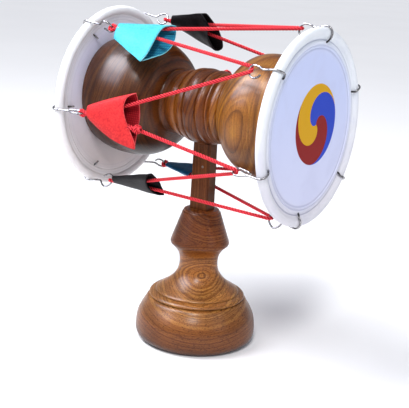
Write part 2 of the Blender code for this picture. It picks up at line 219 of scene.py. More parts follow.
def divide(line: Sequence[Vector], parts: int) -> list[Vector]:
    """Divide a line into equal parts.

    Args:
        line: The points of the line.
        parts: How many parts.

    Returns:
        The points between the parts, the two ends included.
    """
    spans = [(b - a).length for a, b in zip(line, line[1:])]
    step = sum(spans) / parts
    even = [line[0].copy()]
    left = step
    for span, here, there in zip(spans, line, line[1:]):
        while left <= span and len(even) < parts:
            even.append(here.lerp(there, left / span))
            left += step
        left -= span
    return even + [line[-1].copy()]


def finish_piece(name: str, bm: bmesh.types.BMesh, finishes: Sequence[bpy.types.Material],
                 crease: float, flip_check: bool = True) -> bpy.types.Object:
    """Turn a finished bmesh into a piece of the drum.

    Args:
        name: The piece's name.
        bm: Its mesh, which is freed.
        finishes: Its materials.
        crease: Edges bent by more degrees than this stay sharp.
        flip_check: Whether the normals are worked out anew.

    Returns:
        The new object, at the origin.
    """
    bmesh.ops.remove_doubles(bm, verts=bm.verts, dist=WELD)
    if flip_check:
        bmesh.ops.recalc_face_normals(bm, faces=bm.faces)
    mesh = bpy.data.meshes.new(name)
    bm.to_mesh(mesh)
    bm.free()
    for finish in finishes:
        mesh.materials.append(finish)
    mesh.polygons.foreach_set("use_smooth", [True] * len(mesh.polygons))
    mesh.set_sharp_from_angle(angle=math.radians(crease))
    piece = bpy.data.objects.new(name, mesh)
    bpy.context.scene.collection.objects.link(piece)
    return piece


def settle(piece: bpy.types.Object, slot: str, *nodes: str) -> bpy.types.Object:
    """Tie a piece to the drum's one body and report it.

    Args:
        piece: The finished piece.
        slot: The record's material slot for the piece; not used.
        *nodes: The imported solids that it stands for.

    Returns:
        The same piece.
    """
    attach(piece, "root")
    if nodes:
        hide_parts(*nodes)
    stands_for = ", ".join(nodes) or "nothing"
    log.info("%s: %d faces, stands for %s", piece.name, len(piece.data.polygons), stands_for)
    return piece


def turn_profile(name: str, runs: Sequence[Line], spin: Spin, centre: Vector, steps: int,
                 closed: bool, finish: bpy.types.Material, crease: float) -> bpy.types.Object:
    """Turn a piece on the lathe.

    Args:
        name: The piece's name.
        runs: Smooth stretches of its profile, in millimetres along and away from the axis. Two
            stretches meet at a sharp corner.
        spin: The axis.
        centre: A point on the axis, from which the profile is measured.
        steps: Facets round the piece.
        closed: Whether the profile closes on itself, as on a hollow piece.
        finish: Its material.
        crease: Edges bent by more degrees than this stay sharp.

    Returns:
        The turned piece.
    """
    axis = Vector(spin.value)
    away = Vector((0.0, 1.0, 0.0))
    profile: list[Vector] = []
    for run in runs:
        corner = [centre + axis * (a * MM) + away * (r * MM) for a, r in run]
        line = smooth_line(corner, CURVE_STEPS) if len(corner) > 2 else corner
        profile += line if not profile else line[1:]
    bm = bmesh.new()
    verts = [bm.verts.new(point) for point in profile]
    edges = [bm.edges.new(pair) for pair in zip(verts, verts[1:])]
    if closed:
        edges.append(bm.edges.new((verts[-1], verts[0])))
    bmesh.ops.spin(bm, geom=verts + edges, cent=centre, axis=axis, dvec=(0.0, 0.0, 0.0),
                   angle=FULL_TURN, steps=steps, use_merge=True, use_duplicate=False)
    return finish_piece(name, bm, [finish], crease)


def bar_mesh(name: str, lines: Sequence[Sequence[Vector]], radius: float, roundness: int,
             closed: bool) -> bpy.types.Mesh:
    """Make round bars along lines, all in one mesh.

    Args:
        name: The mesh's name.
        lines: The centre line of each bar.
        radius: Half its thickness.
        roundness: Blender's bevel resolution, 2 for eight sides.
        closed: Whether each bar closes on itself.

    Returns:
        The mesh, with its ends capped.
    """
    curve = bpy.data.curves.new(name, "CURVE")
    curve.dimensions = "3D"
    curve.bevel_depth = radius
    curve.bevel_resolution = roundness
    curve.use_fill_caps = True
    curve.twist_mode = "MINIMUM"
    for line in lines:
        spline = curve.splines.new("POLY")
        spline.points.add(len(line) - 1)
        for knot, point in zip(spline.points, line):
            knot.co = (*point, 1.0)
        spline.use_cyclic_u = closed
        spline.use_smooth = True
    holder = bpy.data.objects.new(name + "_line", curve)
    bpy.context.scene.collection.objects.link(holder)
    graph = bpy.context.evaluated_depsgraph_get()
    mesh = bpy.data.meshes.new_from_object(holder.evaluated_get(graph))
    bpy.data.objects.remove(holder)
    bpy.data.curves.remove(curve)
    return mesh


def bar_piece(name: str, lines: Sequence[Sequence[Vector]], radius: float, roundness: int,
              finish: bpy.types.Material, closed: bool = False) -> bpy.types.Object:
    """Make round bars along lines as one piece.

    Args:
        name: The piece's name.
        lines: The centre line of each bar.
        radius: Half its thickness.
        roundness: Blender's bevel resolution, 2 for eight sides.
        finish: Its material.
        closed: Whether each bar closes on itself.

    Returns:
        The piece.
    """
    bm = bmesh.new()
    bm.from_mesh(bar_mesh(name, lines, radius, roundness, closed))
    return finish_piece(name, bm, [finish], crease=60.0)


@dataclass(frozen=True)
class GrowthCentre:
    """A line that the growth rings close round: the heart of the trunk, or a knot.

    Where the line meets the surface the rings show as nested ovals, and further off as long curves.
    """

    place: Vector
    along: Vector = field(default_factory=FRONT.copy)
    # what sideways and upright distances are multiplied by, and how many degrees both are turned
    squash: tuple[float, float] = (1.0, 1.0)
    tilt: float = 0.0
    # a distance at right angles to both, which makes the innermost rings wider
    head_start: float = 0.0

    def distance(self, tree: bpy.types.NodeTree, place: Socket) -> Socket:
        """Measure how far a point is from the line.

        Args:
            tree: The material's tree.
            place: The point.

        Returns:
            The distance in metres, with sideways and upright distances squashed.
        """
        sideways = self.along.cross(UP).normalized()
        sideways.rotate(Matrix.Rotation(math.radians(self.tilt), 3, self.along))
        upright = sideways.cross(self.along).normalized()
        moved = put(tree, "ShaderNodeVectorMath", {0: place, 1: self.place}, operation="SUBTRACT")
        aside, above = (
            put(tree, "ShaderNodeVectorMath", {0: moved.outputs[0], 1: way * squash},
                operation="DOT_PRODUCT").outputs["Value"]
            for way, squash in zip((sideways, upright), self.squash))
        flat = put(tree, "ShaderNodeCombineXYZ", {0: aside, 1: above, 2: self.head_start})
        return put(tree, "ShaderNodeVectorMath", {0: flat.outputs[0]},
                   operation="LENGTH").outputs["Value"]


@dataclass(frozen=True)
class TurnedWood:
    """Close-grained brown hardwood, turned, stained and varnished.

    Turning cuts through the growth rings, so they show as nested ovals and long curves, with short
    dark pores along the grain. The lathe leaves fine marks round the piece, and these draw the
    satin varnish's highlights out into streaks.
    """

    name: str
    light: str
    middle: str
    dark: str
    centres: tuple[GrowthCentre, ...]
    turned_on: Spin = Spin.UPRIGHT
    ring_width: float = 1.7 * MM
    wander: float = 4.0 * MM
    # the stain's tone at places along the axis, in millimetres; on an upright piece this runs with
    # height and also holds painted shade
    stain_and_shade_tones: tuple[tuple[float, str], ...] = ((0.0, "#FFFFFF"),)
    # heights in millimetres between which the colour gets lighter upwards: painted shade, darker
    # towards the bottom
    shade_below: tuple[float, float] | None = None
    shade_below_tone: str = "#9A887E"
    ring_depth: float = 0.55
    fleck_share: float = 0.6
    marks_depth: float = 0.08
    roughness: float = 0.42
    coat: float = 0.5
    coat_roughness: float = 0.27
    specular: float = 0.08
    # marks a metre: the rings wander over 40 mm and ripple over 6 mm, light and dark areas are
    # about 30 mm across, and the tool marks are 1.1 mm apart
    drift_scale: float = 25.0
    ripple_scale: float = 160.0
    cloud_scale: float = 34.0
    mark_scale: float = 900.0
    ripple: float = 1.0 * MM
    # how softly the rings round two centres run into each other
    melt: float = 5.0 * MM
    # rings of uneven width, in ring widths, and how strongly each shows, in shares of ring_depth
    uneven_scale: float = 0.45
    unevenness: float = 3.0
    ring_shares: tuple[float, float] = (0.25, 1.5)
    # about six rings together are lighter or darker
    group_scale: float = 0.16
    group_tones: tuple[float, float] = (0.74, 1.26)
    clouds: tuple[tuple[float, RGBA], ...] = (
        (0.32, (0.66, 0.62, 0.6, 1.0)), (0.66, (1.14, 1.14, 1.12, 1.0)))
    # pores are 0.5 mm wide and 3 mm long, wider than the real ones so that they show
    pores_across: float = 1900.0
    pores_along: float = 300.0
    # how much lower the late wood of a ring is than the early wood
    late_sink: float = -0.25

    def build(self) -> bpy.types.Material:
        """Make the material.

        Returns:
            The wood's material, on Object coordinates.
        """
        made, place = new_material(self.name)
        tree = made.node_tree
        bent = self._bend(tree, place)
        away = self.centres[0].distance(tree, bent)
        for centre in self.centres[1:]:
            other = centre.distance(tree, bent)
            away = put(tree, "ShaderNodeMath", {0: away, 1: other, 2: self.melt},
                       operation="SMOOTH_MIN").outputs[0]
        count = put(tree, "ShaderNodeMath", {0: away, 1: self.ring_width}, operation="DIVIDE")
        color, ring = self._rings(tree, count.outputs[0])
        cloud = put(tree, "ShaderNodeTexNoise",
                    {"Vector": bent, "Scale": self.cloud_scale, "Detail": 3.0})
        shade = put(tree, "ShaderNodeValToRGB", {0: cloud.outputs[0]}, self.clouds)
        color = put(tree, "ShaderNodeMix", {0: 1.0, 6: color, 7: shade.outputs[0]},
                    data_type="RGBA", blend_type="MULTIPLY").outputs[2]
        stretch = put(tree, "ShaderNodeMapping", {"Vector": bent, "Scale": self._pore_scale()})
        pores = put(tree, "ShaderNodeTexNoise",
                    {"Vector": stretch.outputs[0], "Scale": 1.0, "Detail": 3.0, "Roughness": 0.6})
        fleck = put(tree, "ShaderNodeMapRange",
                    {0: pores.outputs[0], 1: 0.5, 2: 0.7, 3: 0.0, 4: self.fleck_share})
        color = put(tree, "ShaderNodeMix", {0: fleck.outputs[0], 6: color, 7: linear(self.dark)},
                    data_type="RGBA").outputs[2]
        color, marks = self._lathe(tree, place, color)
        gloss = put(tree, "ShaderNodeMapRange",
                    {0: pores.outputs[0], 3: self.roughness + DULL_SPREAD[0],
                     4: self.roughness + DULL_SPREAD[1]})
        height = put(tree, "ShaderNodeMath", {0: marks, 1: pores.outputs[0]}, operation="SUBTRACT")
        relief = put(tree, "ShaderNodeMath", {0: ring, 1: self.late_sink, 2: height.outputs[0]},
                     operation="MULTIPLY_ADD")
        bump = put(tree, "ShaderNodeBump",
                   {"Height": relief.outputs[0], "Strength": 0.2, "Distance": 0.3 * MM})
        return dress_shader(made, color, gloss.outputs[0], bump, {
            "IOR": 1.5, "Specular IOR Level": self.specular,
            "Coat Weight": self.coat, "Coat Roughness": self.coat_roughness})

    def _bend(self, tree: bpy.types.NodeTree, place: Socket) -> Socket:
        """Move each point a little, so that the rings wander and ripple as in a grown tree.

        Args:
            tree: The material's tree.
            place: The point on the piece.

        Returns:
            The moved point.
        """
        bent = place
        for scale, detail, reach in ((self.drift_scale, 1.0, self.wander),
                                     (self.ripple_scale, 2.0, self.ripple)):
            noise = put(tree, "ShaderNodeTexNoise",
                        {"Vector": place, "Scale": scale, "Detail": detail})
            bent = put(tree, "ShaderNodeVectorMath",
                       {0: noise.outputs["Color"], 1: (reach,) * 3, 2: bent},
                       operation="MULTIPLY_ADD").outputs[0]
        return bent

    def _rings(self, tree: bpy.types.NodeTree, count: Socket) -> tuple[Socket, Socket]:
        """Colour the growth rings, each with a light early part and a thin dark late part.

        Args:
            tree: The material's tree.
            count: The distance from the heart in ring widths.

        Returns:
            The colour, and the place within a ring.
        """
        uneven, group = (
            put(tree, "ShaderNodeTexNoise", {"W": count, "Scale": scale, "Detail": 2.0},
                noise_dimensions="1D").outputs[0]
            for scale in (self.uneven_scale, self.group_scale))
        ringed = put(tree, "ShaderNodeMath", {0: uneven, 1: self.unevenness, 2: count},
                     operation="MULTIPLY_ADD")
        ring = put(tree, "ShaderNodeMath", {0: ringed.outputs[0]}, operation="FRACT").outputs[0]
        whole = put(tree, "ShaderNodeMath", {0: ringed.outputs[0]}, operation="FLOOR")
        tone = put(tree, "ShaderNodeTexWhiteNoise", {"W": whole.outputs[0]}, noise_dimensions="1D")
        late = put(tree, "ShaderNodeValToRGB", {0: ring},
                   [(at, linear(code)) for at, code in (
                       (0.0, self.middle), (0.25, self.light), (0.6, self.middle),
                       (0.9, self.dark), (1.0, self.middle))])
        faint, strong = (part * self.ring_depth for part in self.ring_shares)
        share = put(tree, "ShaderNodeMapRange", {0: tone.outputs["Value"], 3: faint, 4: strong})
        color = put(tree, "ShaderNodeMix",
                    {0: share.outputs[0], 6: linear(self.middle), 7: late.outputs[0]},
                    data_type="RGBA")
        step = put(tree, "ShaderNodeMapRange", {0: group, 1: 0.3, 2: 0.7, 3: self.group_tones[0],
                                                4: self.group_tones[1]})
        banded = put(tree, "ShaderNodeVectorMath", {0: color.outputs[2], "Scale": step.outputs[0]},
                     operation="SCALE")
        return banded.outputs[0], ring

    def _pore_scale(self) -> tuple[float, float, float]:
        """Give how often the pores come along each axis, in flecks a metre."""
        longer = self.pores_across - self.pores_along
        return tuple(self.pores_across - longer * abs(part) for part in self.centres[0].along)

    def _lathe(self, tree: bpy.types.NodeTree, place: Socket,
               color: Socket) -> tuple[Socket, Socket]:
        """Draw what changes along the lathe's axis and with height: the tool marks, the stain, and
        the painted shade towards the bottom.

        Args:
            tree: The material's tree.
            place: The point on the piece.
            color: The wood's colour.

        Returns:
            The changed colour, and the height of the tool marks.
        """
        along = put(tree, "ShaderNodeVectorMath", {0: place, 1: self.turned_on.value},
                    operation="DOT_PRODUCT").outputs["Value"]
        marks = put(tree, "ShaderNodeTexNoise",
                    {"W": along, "Scale": self.mark_scale, "Detail": 2.0}, noise_dimensions="1D")
        mark = put(tree, "ShaderNodeMapRange",
                   {0: marks.outputs[0], 1: 0.3, 2: 0.7,
                    3: 1.0 - self.marks_depth, 4: 1.0 + self.marks_depth})
        color = put(tree, "ShaderNodeVectorMath", {0: color, "Scale": mark.outputs[0]},
                    operation="SCALE").outputs[0]
        stains_and_shade = []
        if self.shade_below is not None:
            # painted shade: darker below the lower height, full colour above the higher
            upright = put(tree, "ShaderNodeSeparateXYZ", {0: place})
            low, high = self.shade_below
            stains_and_shade.append((put(tree, "ShaderNodeMapRange",
                               {0: upright.outputs[2], 1: low * MM, 2: high * MM},
                               interpolation_type="SMOOTHSTEP"),
                           [(0.0, self.shade_below_tone), (1.0, "#FFFFFF")]))
        # the stain along the axis, with the painted shade at the stand's foot
        first, last = self.stain_and_shade_tones[0][0], self.stain_and_shade_tones[-1][0]
        if last > first:
            stains_and_shade.append((put(tree, "ShaderNodeMapRange", {0: along, 1: first * MM, 2: last * MM}),
                           [((at - first) / (last - first), code) for at, code in self.stain_and_shade_tones]))
        for share, codes in stains_and_shade:
            tone = put(tree, "ShaderNodeValToRGB", {0: share.outputs[0]},
                       [(at, linear(code)) for at, code in codes])
            color = put(tree, "ShaderNodeMix", {0: 1.0, 6: color, 7: tone.outputs[0]},
                        data_type="RGBA", blend_type="MULTIPLY").outputs[2]
        return color, marks.outputs[0]


@dataclass(frozen=True)
class PaintedSwirl:
    """The three-coloured swirl painted on one head: three arms that curl in to the middle."""

    centre_y: float = 5.6 * MM
    centre_z: float = 2.0 * MM
    radius: float = 26.0 * MM
    # the arms' start and how far they wind on their way in, in degrees
    turn: float = 17.0
    curl: float = 104.0
    colors: tuple[str, str, str] = ("#D09C00", "#860A06", "#2342B8")
    soft_edge: float = 0.12 * MM
    # the paint is on the skin's outer face alone
    deepest: float = 78.6 * MM

    def lay(self, tree: bpy.types.NodeTree, local: Socket, ground: Socket) -> Socket:
        """Lay the swirl over the skin's colour.

        Args:
            tree: The material's tree.
            local: Places measured from the heads' axis.
            ground: The skin's colour.

        Returns:
            The colour with the swirl on it.
        """
        middle = Vector((0.0, self.centre_y, self.centre_z))
        about = put(tree, "ShaderNodeVectorMath", {0: local, 1: middle}, operation="SUBTRACT")
        along, across, above = put(tree, "ShaderNodeSeparateXYZ", {0: about.outputs[0]}).outputs
        square = put(tree, "ShaderNodeMath", {0: across, 1: across}, operation="MULTIPLY")
        total = put(tree, "ShaderNodeMath", {0: above, 1: above, 2: square.outputs[0]},
                    operation="MULTIPLY_ADD")
        reach = put(tree, "ShaderNodeMath", {0: total.outputs[0]}, operation="SQRT")
        share = put(tree, "ShaderNodeMath", {0: reach.outputs[0], 1: self.radius},
                    operation="DIVIDE", use_clamp=True)
        lag = put(tree, "ShaderNodeMath", {0: share.outputs[0]}, operation="ARCCOSINE")
        angle = put(tree, "ShaderNodeMath", {0: above, 1: across}, operation="ARCTAN2")
        curl = math.radians(self.curl)
        wound = put(tree, "ShaderNodeMath", {0: share.outputs[0], 1: -curl, 2: curl},
                    operation="MULTIPLY_ADD")
        behind = put(tree, "ShaderNodeMath", {0: lag.outputs[0], 1: wound.outputs[0]},
                     operation="ADD")
        arm = put(tree, "ShaderNodeMath", {0: angle.outputs[0], 1: behind.outputs[0]},
                  operation="SUBTRACT")
        turned = put(tree, "ShaderNodeMath", {0: arm.outputs[0], 1: math.radians(self.turn)},
                     operation="SUBTRACT")
        turns = put(tree, "ShaderNodeMath", {0: turned.outputs[0], 1: FULL_TURN},
                    operation="DIVIDE")
        which = put(tree, "ShaderNodeMath", {0: turns.outputs[0]}, operation="FRACT")
        paint = put(tree, "ShaderNodeValToRGB", {0: which.outputs[0]},
                    [(i / 3.0, linear(code)) for i, code in enumerate(self.colors)])
        paint.color_ramp.interpolation = "CONSTANT"
        inside = put(tree, "ShaderNodeMapRange",
                     {0: reach.outputs[0], 1: self.radius - self.soft_edge,
                      2: self.radius + self.soft_edge, 3: 1.0, 4: 0.0})
        outer = put(tree, "ShaderNodeMath", {0: along, 1: self.deepest}, operation="GREATER_THAN")
        both = put(tree, "ShaderNodeMath", {0: inside.outputs[0], 1: outer.outputs[0]},
                   operation="MULTIPLY")
        return put(tree, "ShaderNodeMix", {0: both.outputs[0], 6: ground, 7: paint.outputs[0]},
                   data_type="RGBA").outputs[2]


@dataclass(frozen=True)
class DrumSkin:
    """White leather, stretched wet and dried: smooth, faintly mottled, with a soft gloss."""

    name: str
    face: str
    # the colours at the bottom of the face and of the rim are painted light and shade
    low: str
    edge: str
    shaded_low_edge: str
    stain: str
    stain_share: float
    groove_shade_share: float
    swirl: PaintedSwirl | None = None
    specular: float = 0.18
    roughness: tuple[float, float] = (0.48, 0.62)
    # distances from the heads' axis: the skin is whiter where it is pulled over the ring, and its
    # seams and grooves there are darkened with painted shade
    whiter: tuple[float, float] = (46.0 * MM, 58.0 * MM)
    groove_shade_span: tuple[float, float] = (49.0 * MM, 58.0 * MM)
    # heights from the axis between which the colour goes from low to face: painted light and shade
    # that change the colour from the bottom up
    shade_heights: tuple[float, float] = (-50.0 * MM, 40.0 * MM)
    groove_shades: tuple[tuple[float, str], ...] = (
        (0.0, "#FFFFFF"), (0.14, "#D2D3DE"), (0.2, "#FFFFFF"), (0.36, "#DCDDE6"), (0.42, "#FFFFFF"),
        (0.66, "#FFFFFF"), (0.72, "#B9BBCB"), (0.8, "#FFFFFF"))
    # marks a metre: clouds 24 mm across, and the leather's grain, 1.1 mm
    cloud_scale: float = 42.0
    grain_scale: float = 900.0

    def build(self) -> bpy.types.Material:
        """Make the material.

        Returns:
            The skin's material.
        """
        made, place = new_material(self.name)
        tree = made.node_tree
        local, away = from_axis(tree, place)
        share = put(tree, "ShaderNodeMapRange", {0: away, 1: self.whiter[0], 2: self.whiter[1]},
                    interpolation_type="SMOOTHSTEP")
        # painted light and shade: face and rim go from their bottom colours to their top ones
        height = put(tree, "ShaderNodeSeparateXYZ", {0: local})
        rise = put(tree, "ShaderNodeMapRange",
                   {0: height.outputs[2], 1: self.shade_heights[0], 2: self.shade_heights[1]},
                   interpolation_type="SMOOTHSTEP")
        face, rim = (
            put(tree, "ShaderNodeMix", {0: rise.outputs[0], 6: linear(low), 7: linear(high)},
                data_type="RGBA").outputs[2]
            for low, high in ((self.low, self.face), (self.shaded_low_edge, self.edge)))
        color = put(tree, "ShaderNodeMix", {0: share.outputs[0], 6: face, 7: rim},
                    data_type="RGBA").outputs[2]
        # painted shade in the seams and grooves near the ring
        crease = put(tree, "ShaderNodeMapRange", {0: away, 1: self.groove_shade_span[0], 2: self.groove_shade_span[1]})
        groove_shade = put(tree, "ShaderNodeValToRGB", {0: crease.outputs[0]},
                   [(at, linear(code)) for at, code in self.groove_shades])
        color = put(tree, "ShaderNodeMix", {0: self.groove_shade_share, 6: color, 7: groove_shade.outputs[0]},
                    data_type="RGBA", blend_type="MULTIPLY").outputs[2]
        # faint clouds and rubbed streaks in the leather
        cloud = put(tree, "ShaderNodeTexNoise", {"Vector": local, "Scale": self.cloud_scale,
                                                 "Detail": 4.0, "Distortion": 0.8})
        smear = put(tree, "ShaderNodeMapRange", {0: cloud.outputs[0], 1: 0.5, 2: 0.78, 3: 0.0,
                                                 4: self.stain_share})
        color = put(tree, "ShaderNodeMix", {0: smear.outputs[0], 6: color, 7: linear(self.stain)},
                    data_type="RGBA").outputs[2]
        grain = put(tree, "ShaderNodeTexNoise",
                    {"Vector": local, "Scale": self.grain_scale, "Detail": 3.0})
        if self.swirl is not None:
            color = self.swirl.lay(tree, local, color)
        gloss = put(tree, "ShaderNodeMapRange",
                    {0: cloud.outputs[0], 3: self.roughness[0], 4: self.roughness[1]})
        relief = put(tree, "ShaderNodeMath", {0: cloud.outputs[0], 1: 0.12, 2: grain.outputs[0]},
                     operation="MULTIPLY_ADD")
        bump = put(tree, "ShaderNodeBump",
                   {"Height": relief.outputs[0], "Strength": 0.1, "Distance": 0.3 * MM})
        return dress_shader(made, color, gloss.outputs[0], bump,
                            {"IOR": 1.48, "Specular IOR Level": self.specular})


@dataclass(frozen=True)
class PlatedSteel:
    """Bright zinc-plated steel wire, drawn and bent: mirror-like, with fine dull spots."""

    name: str = "plated_steel_wire"
    color: str = "#ACAAAB"
    roughness: float = 0.2
    spot: str = "#5E5B5C"
    pierce_shade: str = "#1E1B1F"
    pierce_shade_share: float = 0.85
    # spots a metre: 1.4 mm across
    spot_scale: float = 700.0
    # painted shade where the wire pierces the skin: nearer the heads' axis than the first pair, and
    # further from the drum's middle than the second
    pierced: tuple[float, float] = (55.0 * MM, 59.0 * MM)
    outermost: tuple[float, float] = (90.0 * MM, 93.0 * MM)

    def build(self) -> bpy.types.Material:
        """Make the material.

        Returns:
            The wire's material.
        """
        made, place = new_material(self.name)
        tree = made.node_tree
        spots = put(tree, "ShaderNodeTexNoise",
                    {"Vector": place, "Scale": self.spot_scale, "Detail": 3.0})
        color = put(tree, "ShaderNodeValToRGB", {0: spots.outputs[0]},
                    [(0.36, linear(self.spot)), (0.6, linear(self.color))])
        local, away = from_axis(tree, place)
        end = put(tree, "ShaderNodeVectorMath", {0: local}, operation="LENGTH")
        # painted shade on the wire where it goes into the skin
        inner = put(tree, "ShaderNodeMapRange", {0: away, 1: self.pierced[0], 2: self.pierced[1],
                                                 3: self.pierce_shade_share, 4: 0.0})
        outer = put(tree, "ShaderNodeMapRange", {0: end.outputs["Value"], 1: self.outermost[0],
                                                 2: self.outermost[1]})
        share = put(tree, "ShaderNodeMath", {0: inner.outputs[0], 1: outer.outputs[0]},
                    operation="MULTIPLY")
        pierce_shaded = put(tree, "ShaderNodeMix",
                   {0: share.outputs[0], 6: color.outputs[0], 7: linear(self.pierce_shade)},
                   data_type="RGBA")
        gloss = put(tree, "ShaderNodeMapRange",
                    {0: spots.outputs[0], 3: self.roughness + DULL_SPREAD[1],
                     4: self.roughness + DULL_SPREAD[0]})
        return dress_shader(made, pierce_shaded.outputs[2], gloss.outputs[0], None, {"Metallic": 1.0})


@dataclass(frozen=True)
class TwistedCotton:
    """Dyed cotton cord laid from three strands: matt, a little hairy, with painted shade between
    them.
    """

    name: str = "twisted_cotton_cord"
    light: str = "#E8404A"
    middle: str = "#CC1E2A"
    dark: str = "#52040A"
    # fibres a metre: 0.5 mm bundles, coarser than single fibres so that they show
    fibre_scale: float = 1900.0

    def build(self) -> bpy.types.Material:
        """Make the material.

        Returns:
            The cord's material.
        """
        made, place = new_material(self.name)
        tree = made.node_tree
        fibre = put(tree, "ShaderNodeTexNoise", {"Vector": place, "Scale": self.fibre_scale,
                                                 "Detail": 3.0, "Distortion": 1.2})
        # painted shade, darker where the cord lies deep between its strands
        depth = put(tree, "ShaderNodeAttribute", attribute_name=STRAND_SHADE_MARK)
        mixed = put(tree, "ShaderNodeMath", {0: fibre.outputs[0], 1: 0.35, 2: depth.outputs["Fac"]},
                    operation="MULTIPLY_ADD")
        color = put(tree, "ShaderNodeValToRGB", {0: mixed.outputs[0]},
                    [(0.38, linear(self.dark)), (0.84, linear(self.middle)),
                     (1.0, linear(self.light))])
        bump = put(tree, "ShaderNodeBump",
                   {"Height": fibre.outputs[0], "Strength": 0.5, "Distance": 0.2 * MM})
        return dress_shader(made, color.outputs[0], 0.72, bump, {
            "Specular IOR Level": 0.12, "Sheen Weight": 0.03, "Sheen Roughness": 0.45})


@dataclass(frozen=True)
class DyedLeather:
    """Thin dyed leather with a pressed pebble grain outside and a cloth-like flesh side inside."""

    name: str
    outside: str
    inside: str
    edge: str
    speck: str
    # pebbles a metre: 1.2 mm across, twice as coarse as the real ones so that they show
    pebble_scale: float = 830.0
    # light and dark areas a metre: 14 mm across
    cloud_scale: float = 70.0
    # threads 1.4 mm apart, coarser than the real backing so that they show
    thread_scale: float = 224.0

    def build(self) -> list[bpy.types.Material]:
        """Make the three materials.

        Returns:
            The outer face, the inner face and the cut edge.
        """
        return [self._face("grain", self.outside, self.speck, 0.46),
                self._inner(),
                self._face("cut_edge", self.edge, self.outside, 0.75)]

    def _face(self, part: str, ground: str, speck: str, roughness: float) -> bpy.types.Material:
        """Make the pebbled side.

        Args:
            part: Which face it is for.
            ground: Its colour.
            speck: The colour in the grain's hollows.
            roughness: How dull it is.

        Returns:
            The material.
        """
        made, place = new_material(self.name + "_" + part)
        tree = made.node_tree
        pebble = put(tree, "ShaderNodeTexVoronoi",
                     {"Vector": place, "Scale": self.pebble_scale, "Randomness": 0.9},
                     feature="SMOOTH_F1").outputs["Distance"]
        cloud = put(tree, "ShaderNodeTexNoise",
                    {"Vector": place, "Scale": self.cloud_scale, "Detail": 3.0})
        mixed = put(tree, "ShaderNodeMath", {0: cloud.outputs[0], 1: 0.7, 2: pebble},
                    operation="MULTIPLY_ADD")
        share = put(tree, "ShaderNodeMapRange",
                    {0: mixed.outputs[0], 1: 0.5, 2: 1.05, 3: 0.0, 4: 0.75})
        color = put(tree, "ShaderNodeMix",
                    {0: share.outputs[0], 6: linear(ground), 7: linear(speck)}, data_type="RGBA")
        bump = put(tree, "ShaderNodeBump",
                   {"Height": pebble, "Strength": 0.3, "Distance": 0.4 * MM}, invert=True)
        return dress_shader(made, color.outputs[2], roughness, bump,
                            {"IOR": 1.48, "Specular IOR Level": 0.09})

    def _inner(self) -> bpy.types.Material:
        """Make the inner side, backed with a plain woven cloth.

        Returns:
            The material.
        """
        made, place = new_material(self.name + "_backing")
        tree = made.node_tree
        warp, weft = (
            put(tree, "ShaderNodeTexWave",
                {"Vector": place, "Scale": self.thread_scale, "Distortion": 0.6},
                wave_type="BANDS", bands_direction=way).outputs["Fac"]
            for way in ("X", "Z"))
        weave = put(tree, "ShaderNodeMath", {0: warp, 1: weft}, operation="MULTIPLY").outputs[0]
        color = put(tree, "ShaderNodeMix",
                    {0: weave, 6: linear(self.inside), 7: linear(self.speck)}, data_type="RGBA")
        bump = put(tree, "ShaderNodeBump", {"Height": weave, "Strength": 0.4, "Distance": 0.2 * MM})
        return dress_shader(made, color.outputs[2], 0.85, bump, {"Specular IOR Level": 0.15})


@dataclass(frozen=True)
class DrumLayout:
    """Where the drum's pieces are, in metres."""

    axis_height: float = AXIS_HEIGHT
    rim_plane: float = 78.5 * MM
    rim_radius: float = 60.0 * MM
    rim_tube: float = 3.15 * MM
    body_shift_y: float = -2.5 * MM
    body_shift_z: float = 3.6 * MM
    hook_count: int = 6
    first_left: float = 3.0
    first_right: float = 21.0

    def around(self, x: float, radius: float, angle: float) -> Vector:
        """Give a point round the heads' axis.

        Args:
            x: Its place along the axis.
            radius: Its distance from the axis.
            angle: Its angle, from +Y upwards.

        Returns:
            The point.
        """
        return Vector((x, radius * math.cos(angle), self.axis_height + radius * math.sin(angle)))

    def hook_angle(self, side: Side, index: int) -> float:
        """Give a hook's place round its ring.

        Args:
            side: Which head.
            index: Which hook.

        Returns:
            The angle in radians, from +Y upwards.
        """
        first = self.first_left if side is Side.LEFT else self.first_right
        return math.radians(first + 360.0 / self.hook_count * index)


